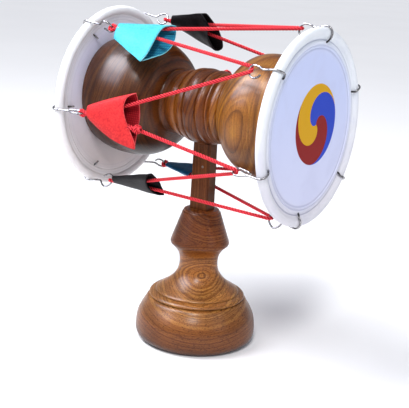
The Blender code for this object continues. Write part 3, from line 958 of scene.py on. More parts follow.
@dataclass
class TurnedBody:
    """The hourglass body: two hollow bowls and a beaded waist, turned from one block.

    Its sizes are in millimetres, and the lines give the place along the drum's axis and the radius.
    """

    layout: DrumLayout
    wall: float = 4.6
    # the bore that joins the bowls, and how far their sloping bottoms reach along the axis
    bore: float = 8.0
    bore_slope: float = 3.4
    # how far each bowl's mouth is from the drum's middle
    mouth: float = 76.9
    left_bowl: Line = field(default_factory=lambda: [
        (-76.9, 37.2), (-71.0, 39.3), (-63.0, 40.9), (-53.0, 41.2), (-44.0, 40.4), (-37.0, 37.9),
        (-31.0, 34.4), (-26.6, 30.6), (-24.2, 26.6)])
    right_bowl: Line = field(default_factory=lambda: [
        (25.2, 25.4), (28.6, 29.0), (33.0, 33.6), (38.0, 37.2), (44.0, 39.5), (52.0, 40.2),
        (61.0, 39.0), (69.0, 37.7), (76.9, 36.6)])
    # the waist's beads: where each starts, the radius there, and how far it bulges
    beads: tuple[tuple[float, float, float], ...] = (
        (-23.6, 22.2, 0.5), (-19.8, 20.2, 0.5), (-9.4, 23.1, 0.5), (-2.2, 24.9, 0.7),
        (7.2, 24.0, 1.0), (13.8, 23.2, 0.5), (17.2, 22.4, 0.4), (22.6, 21.9, 0.0))
    left_cavity: Line = field(default_factory=lambda: [
        (-62.0, 36.0), (-49.0, 36.0), (-37.0, 31.8), (-28.8, 20.4)])
    right_cavity: Line = field(default_factory=lambda: [
        (30.4, 19.6), (38.6, 31.2), (50.0, 35.2), (63.0, 34.0)])
    # the sharp grooves between the beads, and how far a bead's shoulder stands over its start
    groove_width: float = 0.75
    groove_depth: float = 0.95
    last_groove: float = 0.3
    shoulder: float = 0.1

    def _waist(self) -> list[Line]:
        """Draw the waist's beads, with a groove before and after each.

        Returns:
            Their stretches of the profile.
        """
        runs = []
        for (start, low, bulge), (end, high, _) in zip(self.beads, self.beads[1:]):
            first = Vector((start + self.groove_width, low + self.shoulder))
            last = Vector((end - self.groove_width, high + self.shoulder))
            bead = [first.lerp(last, part) + Vector((0.0, bulge * math.sin(math.pi * part)))
                    for part in (0.0, 0.25, 0.5, 0.75, 1.0)]
            runs += [[(start, low - self.groove_depth), first], bead,
                     [last, (end, high - self.groove_depth)]]
        return runs

    def profile(self) -> list[Line]:
        """Draw the turned profile.

        Returns:
            Its smooth stretches, from the left mouth over the outside and back through the inside.
        """
        end, low, _ = self.beads[-1]
        left_lip = (-self.mouth, self.left_bowl[0][1] - self.wall)
        right_lip = (self.mouth, self.right_bowl[-1][1] - self.wall)
        left_bore = (self.left_cavity[-1][0] + self.bore_slope, self.bore)
        right_bore = (self.right_cavity[0][0] - self.bore_slope, self.bore)
        return [self.left_bowl, [self.left_bowl[-1], self.beads[0][:2]], *self._waist(),
                [(end, low - self.last_groove), self.right_bowl[0]], self.right_bowl,
                [self.right_bowl[-1], right_lip], [right_lip, *reversed(self.right_cavity)],
                [self.right_cavity[0], right_bore], [right_bore, left_bore],
                [left_bore, self.left_cavity[-1]], [*reversed(self.left_cavity), left_lip]]

    def build(self) -> bpy.types.Object:
        """Turn the body.

        Returns:
            The piece.
        """
        # the rings' heart comes out at the front of the right bowl, as a lying oval
        heart = GrowthCentre(Vector((50.9, -42.4, 163.2)) * MM, Vector((0.0, -1.0, 0.0)),
                             squash=(1.0, 0.42), tilt=-14.0, head_start=4.6 * MM)
        # the body is painted darker below its axis, as shade
        wood = TurnedWood(
            "turned_drum_wood", light="#B48236", middle="#8C5A22", dark="#2E1408", centres=(heart,),
            turned_on=Spin.ALONG_DRUM, ring_width=3.2 * MM, wander=7.0 * MM, ring_depth=0.46,
            marks_depth=0.2, shade_below=(122.0, 164.0),
            stain_and_shade_tones=((-77.0, "#A59298"), (-38.0, "#938078"), (-22.0, "#AA8A7C"), (-15.0, "#DCB48C"),
                   (-7.0, "#E2BC8C"), (0.0, "#B08A76"), (14.0, "#C09A80"), (28.0, "#F0E4C4"),
                   (60.0, "#F0E6DC"), (77.0, "#E4D0BA"))).build()
        centre = Vector((0.0, self.layout.body_shift_y,
                         self.layout.axis_height + self.layout.body_shift_z))
        piece = turn_profile("turned_body", self.profile(), Spin.ALONG_DRUM, centre, steps=128,
                             closed=True, finish=wood, crease=28.0)
        return settle(piece, "body_wood", "drum_body")


@dataclass
class TurnedStand:
    """The stand: a turned base with a conical collar, and a flat bar let into it.

    The lines are the stretches of the base's profile in millimetres: height and radius.
    """

    foot: Line = field(default_factory=lambda: [
        (0.0, 34.0), (0.35, 36.5), (1.4, 38.7), (3.1, 40.5), (5.1, 41.6), (7.4, 42.0), (12.0, 41.9),
        (18.0, 40.9), (23.0, 38.7), (27.2, 36.2), (30.0, 34.5), (31.0, 33.0)])
    bead: Line = field(default_factory=lambda: [
        (31.2, 31.7), (31.7, 33.0), (32.5, 33.4), (33.4, 32.9), (34.2, 31.7), (34.6, 30.0)])
    neck: Line = field(default_factory=lambda: [
        (34.8, 28.7), (35.2, 29.1), (36.2, 28.4), (38.0, 25.7), (40.4, 22.2), (44.6, 17.6),
        (49.0, 14.7), (53.6, 13.4), (58.6, 13.4), (62.6, 14.4), (66.4, 17.0), (69.2, 20.0)])
    shoulder: Line = field(default_factory=lambda: [(69.2, 20.0), (70.4, 20.45), (71.9, 20.2)])
    collar: Line = field(default_factory=lambda: [(71.9, 20.2), (80.0, 17.4), (92.0, 13.3)])
    ring: Line = field(default_factory=lambda: [
        (92.2, 13.0), (92.7, 12.5), (93.1, 12.4), (93.6, 12.2), (93.9, 11.7), (94.0, 11.3)])
    nail_place: Spot = (1.6, -4.45, 124.3)
    nail_radius: float = 0.95 * MM
    nail_rise: float = 0.45

    def profile(self) -> list[Line]:
        """Draw the base's profile.

        Returns:
            Its stretches, from the middle of the foot to the middle of the collar's top.
        """
        runs: list[Line] = [[(0.0, 0.0), self.foot[0]], self.foot]
        for part in (self.bead, self.neck):
            runs += [[runs[-1][-1], part[0]], part]
        runs += [self.shoulder, self.collar, [self.collar[-1], self.ring[0]], self.ring]
        return runs + [[self.ring[-1], (self.ring[-1][0], 0.0)]]

    def build(self) -> None:
        """Turn the base, and dress the bar that stands in it."""
        # the rings show as ovals on the neck and on the collar
        knots = (GrowthCentre(Vector((12.2, -7.5, 52.0)) * MM, squash=(0.62, 1.0)),
                 GrowthCentre(Vector((13.0, 6.0, 100.0)) * MM, squash=(0.62, 1.0),
                              head_start=2.0 * MM))
        # its tone by height is darker towards the foot: painted shade
        wood = TurnedWood(
            "turned_stand_wood", light="#C4904A", middle="#98622E", dark="#341606", centres=knots,
            ring_width=1.6 * MM, ring_depth=0.42, marks_depth=0.1, fleck_share=0.85,
            stain_and_shade_tones=((0.0, "#765A46"), (17.0, "#CCB49E"), (36.0, "#FFFFFF"), (56.0, "#F2DEB6"),
                   (70.0, "#B89682"), (94.0, "#B0907A"))).build()
        base = turn_profile("turned_base", self.profile(), Spin.UPRIGHT, Vector(), steps=128,
                            closed=False, finish=wood, crease=24.0)
        settle(base, "base_wood", "stand_base")
        self._dress_bar()
        self._nail()

    def _dress_bar(self) -> None:
        """Give the flat bar its wood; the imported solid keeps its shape."""
        heart = GrowthCentre(Vector((22.0, 0.0, 118.0)) * MM, Vector((0.0, -1.0, 0.0)),
                             squash=(1.0, 0.12), tilt=2.0)
        wood = TurnedWood(
            "planed_bar_wood", light="#70401E", middle="#562D11", dark="#240F05", centres=(heart,),
            marks_depth=0.0, roughness=0.45, coat=0.1).build()
        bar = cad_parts["stand_post"]
        bar.data.materials.clear()
        bar.data.materials.append(wood)
        log.info("stand_post: dressed as it is")

    def _nail(self) -> None:
        """Drive the small nail that holds the bar, with its head proud of the front face."""
        bm = bmesh.new()
        head = bmesh.ops.create_uvsphere(bm, u_segments=24, v_segments=12,
                                         radius=self.nail_radius)["verts"]
        bmesh.ops.scale(bm, verts=head, vec=(1.0, self.nail_rise, 1.0))
        bmesh.ops.translate(bm, verts=head, vec=Vector(self.nail_place) * MM)
        steel = PlatedSteel("nail_head", color="#8C7560", roughness=0.42).build()
        settle(finish_piece("bar_nail", bm, [steel], crease=40.0), "hook_steel")


@dataclass
class DrumHead:
    """A leather-covered ring with the skin stretched flat inside it, with sizes in millimetres."""

    layout: DrumLayout
    side: Side
    skin: DrumSkin
    inner_face: float = 77.2
    outer_face: float = 79.2
    # where the ring's roundness starts, inside its middle line, and its steps
    root_inset: float = 3.0
    ring_steps: int = 18
    # distances from the axis: a ring of points on the flat face, and where the back meets the ring
    face_ring: float = 25.0
    back_root: float = 56.6
    # the raised seams of both faces: how far they stand out, at a distance from the axis
    lip: Line = field(default_factory=lambda: [
        (0.0, 50.2), (0.15, 50.6), (0.7, 51.1), (0.75, 51.7), (0.4, 52.3), (0.6, 53.0),
        (0.5, 54.0), (0.1, 55.0), (-0.25, 55.6), (0.0, 56.4)])
    seam: Line = field(default_factory=lambda: [
        (0.0, 54.0), (0.05, 53.7), (0.3, 53.3), (0.3, 52.6)])

    def _ring(self) -> Line:
        """Draw the leather over the ring, from the outer face round to the inner one.

        Returns:
            The points.
        """
        tube = self.layout.rim_tube / MM
        plane = self.layout.rim_plane / MM
        middle = self.layout.rim_radius / MM
        start = math.degrees(math.acos(-self.root_inset / tube))
        end = -180.0 - math.degrees(math.asin((self.inner_face - plane) / tube))
        line = []
        for i in range(self.ring_steps + 1):
            angle = math.radians(start + (end - start) * i / self.ring_steps)
            line.append((plane + tube * math.sin(angle), middle + tube * math.cos(angle)))
        return line

    def profile(self) -> list[Line]:
        """Draw half a section of the head, from the middle of its outer face round to the inner.

        Returns:
            The smooth stretches, in millimetres.
        """
        ring = self._ring()
        lip = [(self.outer_face + rise, radius) for rise, radius in self.lip]
        seam = [(self.inner_face + rise, radius) for rise, radius in self.seam]
        face = [(self.outer_face, 0.0), (self.outer_face, self.face_ring), lip[0]]
        back = [ring[-1], (self.inner_face, self.back_root), seam[0]]
        runs = [face, lip + ring[:1], ring, back, seam, [seam[-1], (seam[-1][0], 0.0)]]
        sign = self.side.value
        return [[(sign * x, r) for x, r in run] for run in runs]

    def build(self) -> bpy.types.Object:
        """Make the head.

        Returns:
            The piece.
        """
        name = self.side.name.lower()
        skin = self.skin.build()
        piece = turn_profile(name + "_drumhead", self.profile(), Spin.ALONG_DRUM,
                             UP * self.layout.axis_height, steps=160, closed=False, finish=skin,
                             crease=50.0)
        return settle(piece, name + "_skin", name + "_head")


@dataclass
class WireHooks:
    """Twelve bent wire hooks: each grips the ring, pierces the skin, and ends in an open U."""

    layout: DrumLayout
    # half the wire's thickness, and its gap to the ring that it grips
    wire: float = 0.65 * MM
    clearance: float = 0.35 * MM
    # from the ring's middle line to the U's end: towards the waist, and away from the heads' axis
    reach_left: float = 21.0 * MM
    reach_right: float = 19.0 * MM
    eye_out: float = 1.0 * MM
    # from the U's end back to where the wire leaves its straight way
    stem: float = 10.4 * MM
    # sideways lean where the wire is over the ring
    slant: float = -1.6 * MM
    # the wire's inner end, which pierces the skin: millimetres towards the waist and inside the
    # ring's middle line, and share of the slant
    pierced_end: tuple[Spot, ...] = (
        (3.4, 10.6, 0.0), (2.2, 8.6, 0.0), (0.2, 6.8, 0.1), (-1.9, 5.0, 0.5))
    # where the wire meets the ring and how far it goes round it, in degrees and in steps
    grip_start: float = 222.0
    grip_turn: float = 140.0
    grip_steps: int = 7
    eye_steps: int = 8
    bend_steps: int = 4
    # from the stem to where the U is half as wide, and the free leg's lift off the cord at its tip
    flare: float = 2.6 * MM
    flare_share: float = 0.6
    tip: float = 2.0 * MM
    tip_lift: tuple[float, float] = (0.5 * MM, 1.7 * MM)
    # how far the U opens outwards and inwards from its end's middle, how long its free leg is, and
    # how many degrees it is turned on its stem: each hook was bent by hand
    outer: dict[Side, tuple[float, ...]] = field(default_factory=lambda: {
        Side.LEFT: (2.5, 4.0, 4.2, 2.1, 4.6, 4.2), Side.RIGHT: (4.2, 2.5, 2.4, 2.8, 5.2, 4.2)})
    inner: dict[Side, tuple[float, ...]] = field(default_factory=lambda: {
        Side.LEFT: (4.6, 4.4, 5.0, 2.7, 4.8, 4.4), Side.RIGHT: (4.4, 5.2, 5.2, 3.5, 4.0, 4.4)})
    leg: dict[Side, tuple[float, ...]] = field(default_factory=lambda: {
        Side.LEFT: (8.0, 8.0, 8.2, 13.0, 8.6, 8.0), Side.RIGHT: (8.0, 7.6, 8.4, 12.0, 8.0, 8.0)})
    twist: dict[Side, tuple[float, ...]] = field(default_factory=lambda: {
        Side.LEFT: (6.0, -8.0, 9.0, 12.0, -6.0, 8.0),
        Side.RIGHT: (-6.0, 4.0, -50.0, 8.0, -8.0, 6.0)})

    def reach(self, side: Side) -> float:
        """Give how far the U's end is from the ring's plane.

        Args:
            side: Which head.

        Returns:
            The distance.
        """
        return self.reach_left if side is Side.LEFT else self.reach_right

    def point(self, side: Side, index: int, reach: float, radius: float, along: float) -> Vector:
        """Place a point near a hook.

        Args:
            side: Which head.
            index: Which hook.
            reach: Distance from the ring's plane towards the waist.
            radius: Distance from the heads' axis.
            along: Sideways step along the ring.

        Returns:
            The point.
        """
        angle = self.layout.hook_angle(side, index)
        point = self.layout.around(side.value * (self.layout.rim_plane - reach), radius, angle)
        return point + Vector((0.0, -math.sin(angle), math.cos(angle))) * along

    def eye(self, side: Side, index: int) -> Vector:
        """Give the middle of the wire at the U's end, where the cord turns.

        Args:
            side: Which head.
            index: Which hook.

        Returns:
            The point.
        """
        return self.point(side, index, self.reach(side), self.layout.rim_radius + self.eye_out, 0.0)

    def line(self, side: Side, index: int) -> list[Vector]:
        """Bend one hook.

        Args:
            side: Which head.
            index: Which hook.

        Returns:
            The wire's centre line.
        """
        end = self.reach(side)
        grip = self.layout.rim_tube + self.wire + self.clearance
        ring = self.layout.rim_radius
        rows = [(reach * MM, ring - inset * MM, share * self.slant)
                for reach, inset, share in self.pierced_end]
        for i in range(self.grip_steps + 1):
            share = i / self.grip_steps
            angle = math.radians(self.grip_start - self.grip_turn * share)
            rows.append((grip * math.cos(angle), ring + grip * math.sin(angle),
                         self.slant * (1.0 - share) ** 2))
        leave = rows[-1]

        def height(reach: float) -> float:
            """Give the wire's distance from the axis on its straight way to the U."""
            share = (reach - leave[0]) / (end - leave[0])
            return leave[1] + (ring + self.eye_out - leave[1]) * share

        outer, inner = self.outer[side][index] * MM, self.inner[side][index] * MM
        leg = self.leg[side][index] * MM
        half, middle = (outer + inner) / 2.0, (outer - inner) / 2.0
        parting = end - self.stem
        bent = [(parting, 0.0), (parting + self.flare, self.flare_share * outer)]
        for i in range(self.eye_steps + 1):
            angle = math.pi * i / self.eye_steps
            bent.append((end - half + half * math.sin(angle), middle + half * math.cos(angle)))
        bent += [(end - leg + self.tip, self.tip_lift[0] - inner),
                 (end - leg, self.tip_lift[1] - inner)]
        turned = math.radians(self.twist[side][index])
        rows += [(a, height(a) + w * math.cos(turned), w * math.sin(turned)) for a, w in bent]
        return smooth_line([self.point(side, index, *row) for row in rows], self.bend_steps)

    def build(self) -> None:
        """Bend all the hooks."""
        steel = PlatedSteel().build()
        for side in Side:
            name = side.name.lower()
            for index in range(self.layout.hook_count):
                line = self.line(side, index)
                piece = bar_piece(f"wire_{name}_{index + 1}", [line], self.wire, roundness=3,
                                  finish=steel)
                settle(piece, "hook_steel", f"hook_{name}_{index + 1}")


@dataclass
class CordV:
    """The V of the cord at one left hook, with the directions that a sleeve there is made in."""

    start: Vector
    axis: Vector
    across: Vector
    outwards: Vector

    @property
    def low(self) -> float:
        """Give the sign of the across direction that points down."""
        return 1.0 if self.across.z < 0.0 else -1.0


@dataclass
class Lacing:
    """The one cord that zigzags through all the hooks and pulls the two heads together."""

    layout: DrumLayout
    hooks: WireHooks
    radius: float = 1.2 * MM
    # a strand's own radius and its distance from the cord's middle, in cord radii
    strand_radius: float = 0.5
    strand_out: float = 0.54
    # one turn of a strand; longer than the real 4 mm, so that the twist shows
    lay: float = 6.3 * MM
    strands_laid: int = 3
    step: float = 0.5 * MM
    # how far the cord steps outwards on its way round a hook, and its room there
    spread: float = 0.5 * MM
    room: float = 0.1 * MM
    turn_steps: int = 8
    # the sleeve's narrow end holds the two spans together: where, how far apart and how far askew
    pinch: float = 6.5 * MM
    pinch_spread: float = 1.7 * MM
    pinch_skew: float = 0.3 * MM
    # the knot: on the span after which left hook, and where on that span
    knot_hook: int = 3
    knot_place: float = 0.345
    knot_length: float = 3.4 * MM
    knot_radius: float = 1.75 * MM
    knot_bulge: float = 0.35 * MM
    knot_turns: float = 1.9
    knot_start: float = 2.4
    knot_steps: int = 24
    knot_parts: int = 70
    # its two cut ends: how far each stands off, and how far it leans along the span
    knot_ends: tuple[tuple[float, float], ...] = ((3.0 * MM, -1.0 * MM), (2.6 * MM, 1.6 * MM))
    # painted shade between the strands, in cord radii: the depth where it is darkest, and how much
    # higher the cord is light
    dark_depth: float = 0.62
    light_rise: float = 0.36

    def vee(self, index: int) -> CordV:
        """Find the V at a left hook.

        Args:
            index: Which left hook.

        Returns:
            Its start and directions.
        """
        count = self.layout.hook_count
        start = self.hooks.eye(Side.LEFT, index)
        before = self.hooks.eye(Side.RIGHT, (index - 1) % count)
        after = self.hooks.eye(Side.RIGHT, index)
        axis = ((before + after) / 2.0 - start).normalized()
        outwards = (after - start).cross(before - start).normalized()
        angle = self.layout.hook_angle(Side.LEFT, index)
        if outwards.dot(Vector((0.0, math.cos(angle), math.sin(angle)))) < 0.0:
            outwards = -outwards
        return CordV(start, axis, outwards.cross(axis), outwards)

    def turn(self, side: Side, index: int) -> list[Vector]:
        """Lead the cord round a hook's wire.

        Args:
            side: Which head.
            index: Which hook.

        Returns:
            The points, round the wire from one side of the hook to the other.
        """
        centre = self.hooks.eye(side, index)
        angle = self.layout.hook_angle(side, index)
        towards = Vector((side.value, 0.0, 0.0))
        outwards = Vector((0.0, math.cos(angle), math.sin(angle)))
        along = Vector((0.0, -math.sin(angle), math.cos(angle)))
        bend = self.hooks.wire + self.radius + self.room
        points = []
        for i in range(self.turn_steps + 1):
            share = i / self.turn_steps
            way = towards * math.sin(math.pi * share) - along * math.cos(math.pi * share)
            points.append(centre + way * bend + outwards * self.spread * (1.0 - 2.0 * share))
        if side is Side.LEFT:
            vee = self.vee(index)
            for sense, place in ((-1.0, 0), (1.0, len(points) + 1)):
                held = vee.start + vee.axis * self.pinch + vee.across * self.pinch_spread * sense
                points.insert(place, held - vee.outwards * self.pinch_skew * sense)
        return points

    def route(self) -> tuple[list[Vector], Vector, Vector]:
        """Lead the cord through all the hooks.

        Returns:
            Its closed line, and the knot's place and direction.
        """
        points: list[Vector] = []
        knot, along = Vector(), Vector()
        for k in range(self.layout.hook_count):
            index = (self.knot_hook + k) % self.layout.hook_count
            points += self.turn(Side.LEFT, index)
            arrive = self.turn(Side.RIGHT, index)
            if k == 0:
                span = arrive[0] - points[-1]
                knot = points[-1] + span * self.knot_place
                along = span.normalized()
            points += arrive
        return self._even(points), knot, along

    def _even(self, points: list[Vector]) -> list[Vector]:
        """Divide the closed line into equal steps and ease its corners.

        Args:
            points: The corners of the line.

        Returns:
            The evenly spaced points.
        """
        loop = points + points[:1]
        length = sum((b - a).length for a, b in zip(loop, loop[1:]))
        even = divide(loop, round(length / self.step))[:-1]
        for _ in range(2):
            after = even[1:] + even[:1]
            even = [(even[i - 1] + even[i] * 2.0 + after[i]) / 4.0 for i in range(len(even))]
        return even

    def strands(self, line: list[Vector], closed: bool) -> list[list[Vector]]:
        """Lay three strands round a line.

        Args:
            line: The cord's centre line, in equal steps.
            closed: Whether it closes on itself.

        Returns:
            The three strands' centre lines.
        """
        length = self.step * len(line)
        turns = round(length / self.lay) if closed else length / self.lay
        side = (line[1] - line[0]).orthogonal().normalized()
        frames = []
        for i, point in enumerate(line):
            after = line[(i + 1) % len(line)] if closed or i + 1 < len(line) else point
            way = (after - line[i - 1] if closed or i > 0 else after - point).normalized()
            side = (side - way * side.dot(way)).normalized()
            frames.append((way, side))
        drift = 0.0
        if closed:
            way, first = frames[0]
            last = (frames[-1][1] - way * frames[-1][1].dot(way)).normalized()
            drift = math.atan2(first.cross(last).dot(way), first.dot(last))
        laid: list[list[Vector]] = [[] for _ in range(self.strands_laid)]
        for i, (way, side) in enumerate(frames):
            up = way.cross(side)
            base = (FULL_TURN * turns - drift) * i / len(line)
            for k, strand in enumerate(laid):
                angle = base + FULL_TURN * k / self.strands_laid
                out = side * math.cos(angle) + up * math.sin(angle)
                strand.append(line[i] + out * self.radius * self.strand_out)
        return laid

    def knot_line(self, centre: Vector, along: Vector) -> list[Vector]:
        """Tie the two ends round the span in a small knot.

        Args:
            centre: The knot's place on the span.
            along: The span's direction.

        Returns:
            The knot's line, from one cut end to the other.
        """
        side = along.orthogonal().normalized()
        up = along.cross(side)
        rows = []
        for i in range(self.knot_steps + 1):
            share = i / self.knot_steps
            angle = FULL_TURN * self.knot_turns * share + self.knot_start
            out = self.knot_radius + self.knot_bulge * math.sin(math.pi * share)
            rows.append(centre + along * (share - 0.5) * self.knot_length
                        + (side * math.cos(angle) + up * math.sin(angle)) * out)
        ends = [row + (row - centre).normalized() * off + along * lean
                for row, (off, lean) in zip((rows[0], rows[-1]), self.knot_ends)]
        return smooth_line([ends[0], *rows, ends[1]], CURVE_STEPS - 1)

    def _mark_strand_shade(self, cord: bpy.types.Object, line: list[Vector]) -> None:
        """Mark how deep each point is between the strands, for the painted shade that darkens the
        cord there.

        Args:
            cord: The piece.
            line: The centre line that its strands are laid round.
        """
        tree = KDTree(len(line))
        for i, point in enumerate(line):
            tree.insert(point, i)
        tree.balance()
        marks = cord.data.attributes.new(STRAND_SHADE_MARK, "FLOAT", "POINT")
        heights = []
        for vert in cord.data.vertices:
            depth = tree.find(vert.co)[2] / self.radius
            heights.append(min(max((depth - self.dark_depth) / self.light_rise, 0.0), 1.0))
        marks.data.foreach_set("value", heights)

    def build(self) -> None:
        """Lay the cord and tie its knot."""
        cotton = TwistedCotton().build()
        thick = self.radius * self.strand_radius
        line, centre, along = self.route()
        cord = bar_piece("twisted_cord", self.strands(line, True), thick, roundness=2,
                         finish=cotton, closed=True)
        self._mark_strand_shade(cord, line)
        settle(cord, "cord_fabric", "lacing_cord")
        log.info("cord: %.0f mm long", len(line) * self.step / MM)
        tied = divide(self.knot_line(centre, along), self.knot_parts)
        knot = bar_piece("cord_knot", self.strands(tied, False), thick, roundness=2, finish=cotton)
        self._mark_strand_shade(knot, tied)
        settle(knot, "cord_fabric")


@dataclass
class LeatherSleeve:
    """One sleeve of folded leather, round the two spans of cord that meet at a left hook.

    Its points are in millimetres from the hook's end: along the V of the cord, downwards across
    it, and outwards from the drum.
    """

    name: str
    hook: int
    leather: DyedLeather
    narrow_top: Spot
    narrow_bottom: Spot
    outer_edge: list[Spot]
    inner_edge: list[Spot]
    narrow_depth: float = 2.6
    # how much fuller it is half-way along, across its low side; the other ways are a share of that
    belly: float = 0.1
    belly_lag: float = 0.6
    belly_high: float = 0.2
    belly_out: float = 0.6
    # slight waves from handling, 15 mm long
    wave: float = 0.2
    wave_rate: float = 0.42
    wave_shift: float = 0.2
    wall: float = 0.8
    rows: int = 26
    facets: int = 32

    def mouth(self) -> list[Vector]:
        """Draw the wide end.

        Returns:
            Its points, from the top fold over the outer side to the bottom fold and back.
        """
        top, bottom = Vector(self.outer_edge[0]), Vector(self.outer_edge[-1])
        outer = smooth_line([Vector(spot) for spot in self.outer_edge], CURVE_STEPS)
        inner = smooth_line([bottom, *(Vector(spot) for spot in self.inner_edge), top], CURVE_STEPS)
        return divide(outer, self.facets)[:-1] + divide(inner, self.facets)[:-1]

    def narrow(self) -> list[Vector]:
        """Draw the narrow end.

        Returns:
            Its points, in the same order as the mouth's.
        """
        top, bottom = Vector(self.narrow_top), Vector(self.narrow_bottom)
        middle, half = (top + bottom) / 2.0, (top - bottom) / 2.0
        depth = Vector((0.0, 0.0, self.narrow_depth))
        turns = [math.pi * i / self.facets for i in range(2 * self.facets)]
        return [middle + half * math.cos(turn) + depth * math.sin(turn) for turn in turns]

    def ring(self, vee: CordV, share: float) -> list[Vector]:
        """Draw the leather at one distance from its narrow end.

        Args:
            vee: The V of the cord that it is round.
            share: 0 at the narrow end, 1 at the mouth.

        Returns:
            The points of its outer face.
        """
        spots = [a.lerp(b, share) for a, b in zip(self.narrow(), self.mouth())]
        middle = sum(spots, Vector()) / len(spots)
        swell = self.belly * math.sin(math.pi * share ** self.belly_lag)
        points = []
        for i, (along, down, out) in enumerate(spots):
            fuller = swell if down > middle.y else self.belly_high * swell
            down = middle.y + (down - middle.y) * (1.0 + fuller)
            out = middle.z + (out - middle.z) * (1.0 + self.belly_out * swell)
            phase = along * self.wave_rate + self.wave_shift * i + self.hook
            out += self.wave * share * math.sin(phase)
            way = vee.axis * along + vee.across * down * vee.low + vee.outwards * out
            points.append(vee.start + way * MM)
        return points

    def build(self, vee: CordV) -> bpy.types.Object:
        """Make the sleeve.

        Args:
            vee: The V of the cord that it is round.

        Returns:
            The piece.
        """
        bm = bmesh.new()
        loop = bmesh.ops.create_circle(bm, cap_ends=False, segments=2 * self.facets,
                                       radius=1.0)["verts"]
        edges = list(bm.edges)
        for row in range(self.rows + 1):
            if row > 0:
                grown = bmesh.ops.extrude_edge_only(bm, edges=edges)["geom"]
                edges = [e for e in grown if isinstance(e, bmesh.types.BMEdge) and e.is_boundary]
                new = {v for v in grown if isinstance(v, bmesh.types.BMVert)}
                loop = [next(e.other_vert(v) for e in v.link_edges if e.other_vert(v) in new)
                        for v in loop]
            for vert, point in zip(loop, self.ring(vee, row / self.rows)):
                vert.co = point
        # an open tube has no inside to tell, so its faces are turned away from its middle
        bmesh.ops.recalc_face_normals(bm, faces=bm.faces)
        bm.normal_update()
        middle = sum((v.co for v in bm.verts), Vector()) / len(bm.verts)
        if sum(f.normal.dot(f.calc_center_median() - middle) * f.calc_area() for f in bm.faces) < 0:
            bmesh.ops.reverse_faces(bm, faces=bm.faces)
        piece = finish_piece("leather_" + self.name, bm, self.leather.build(), crease=75.0,
                             flip_check=False)
        wall = piece.modifiers.new("wall", "SOLIDIFY")
        wall.thickness = self.wall * MM
        wall.offset = -1.0
        wall.use_even_offset = False
        wall.material_offset = 1
        wall.material_offset_rim = 2
        return settle(piece, "leather_" + self.name, "sleeve_" + self.name)


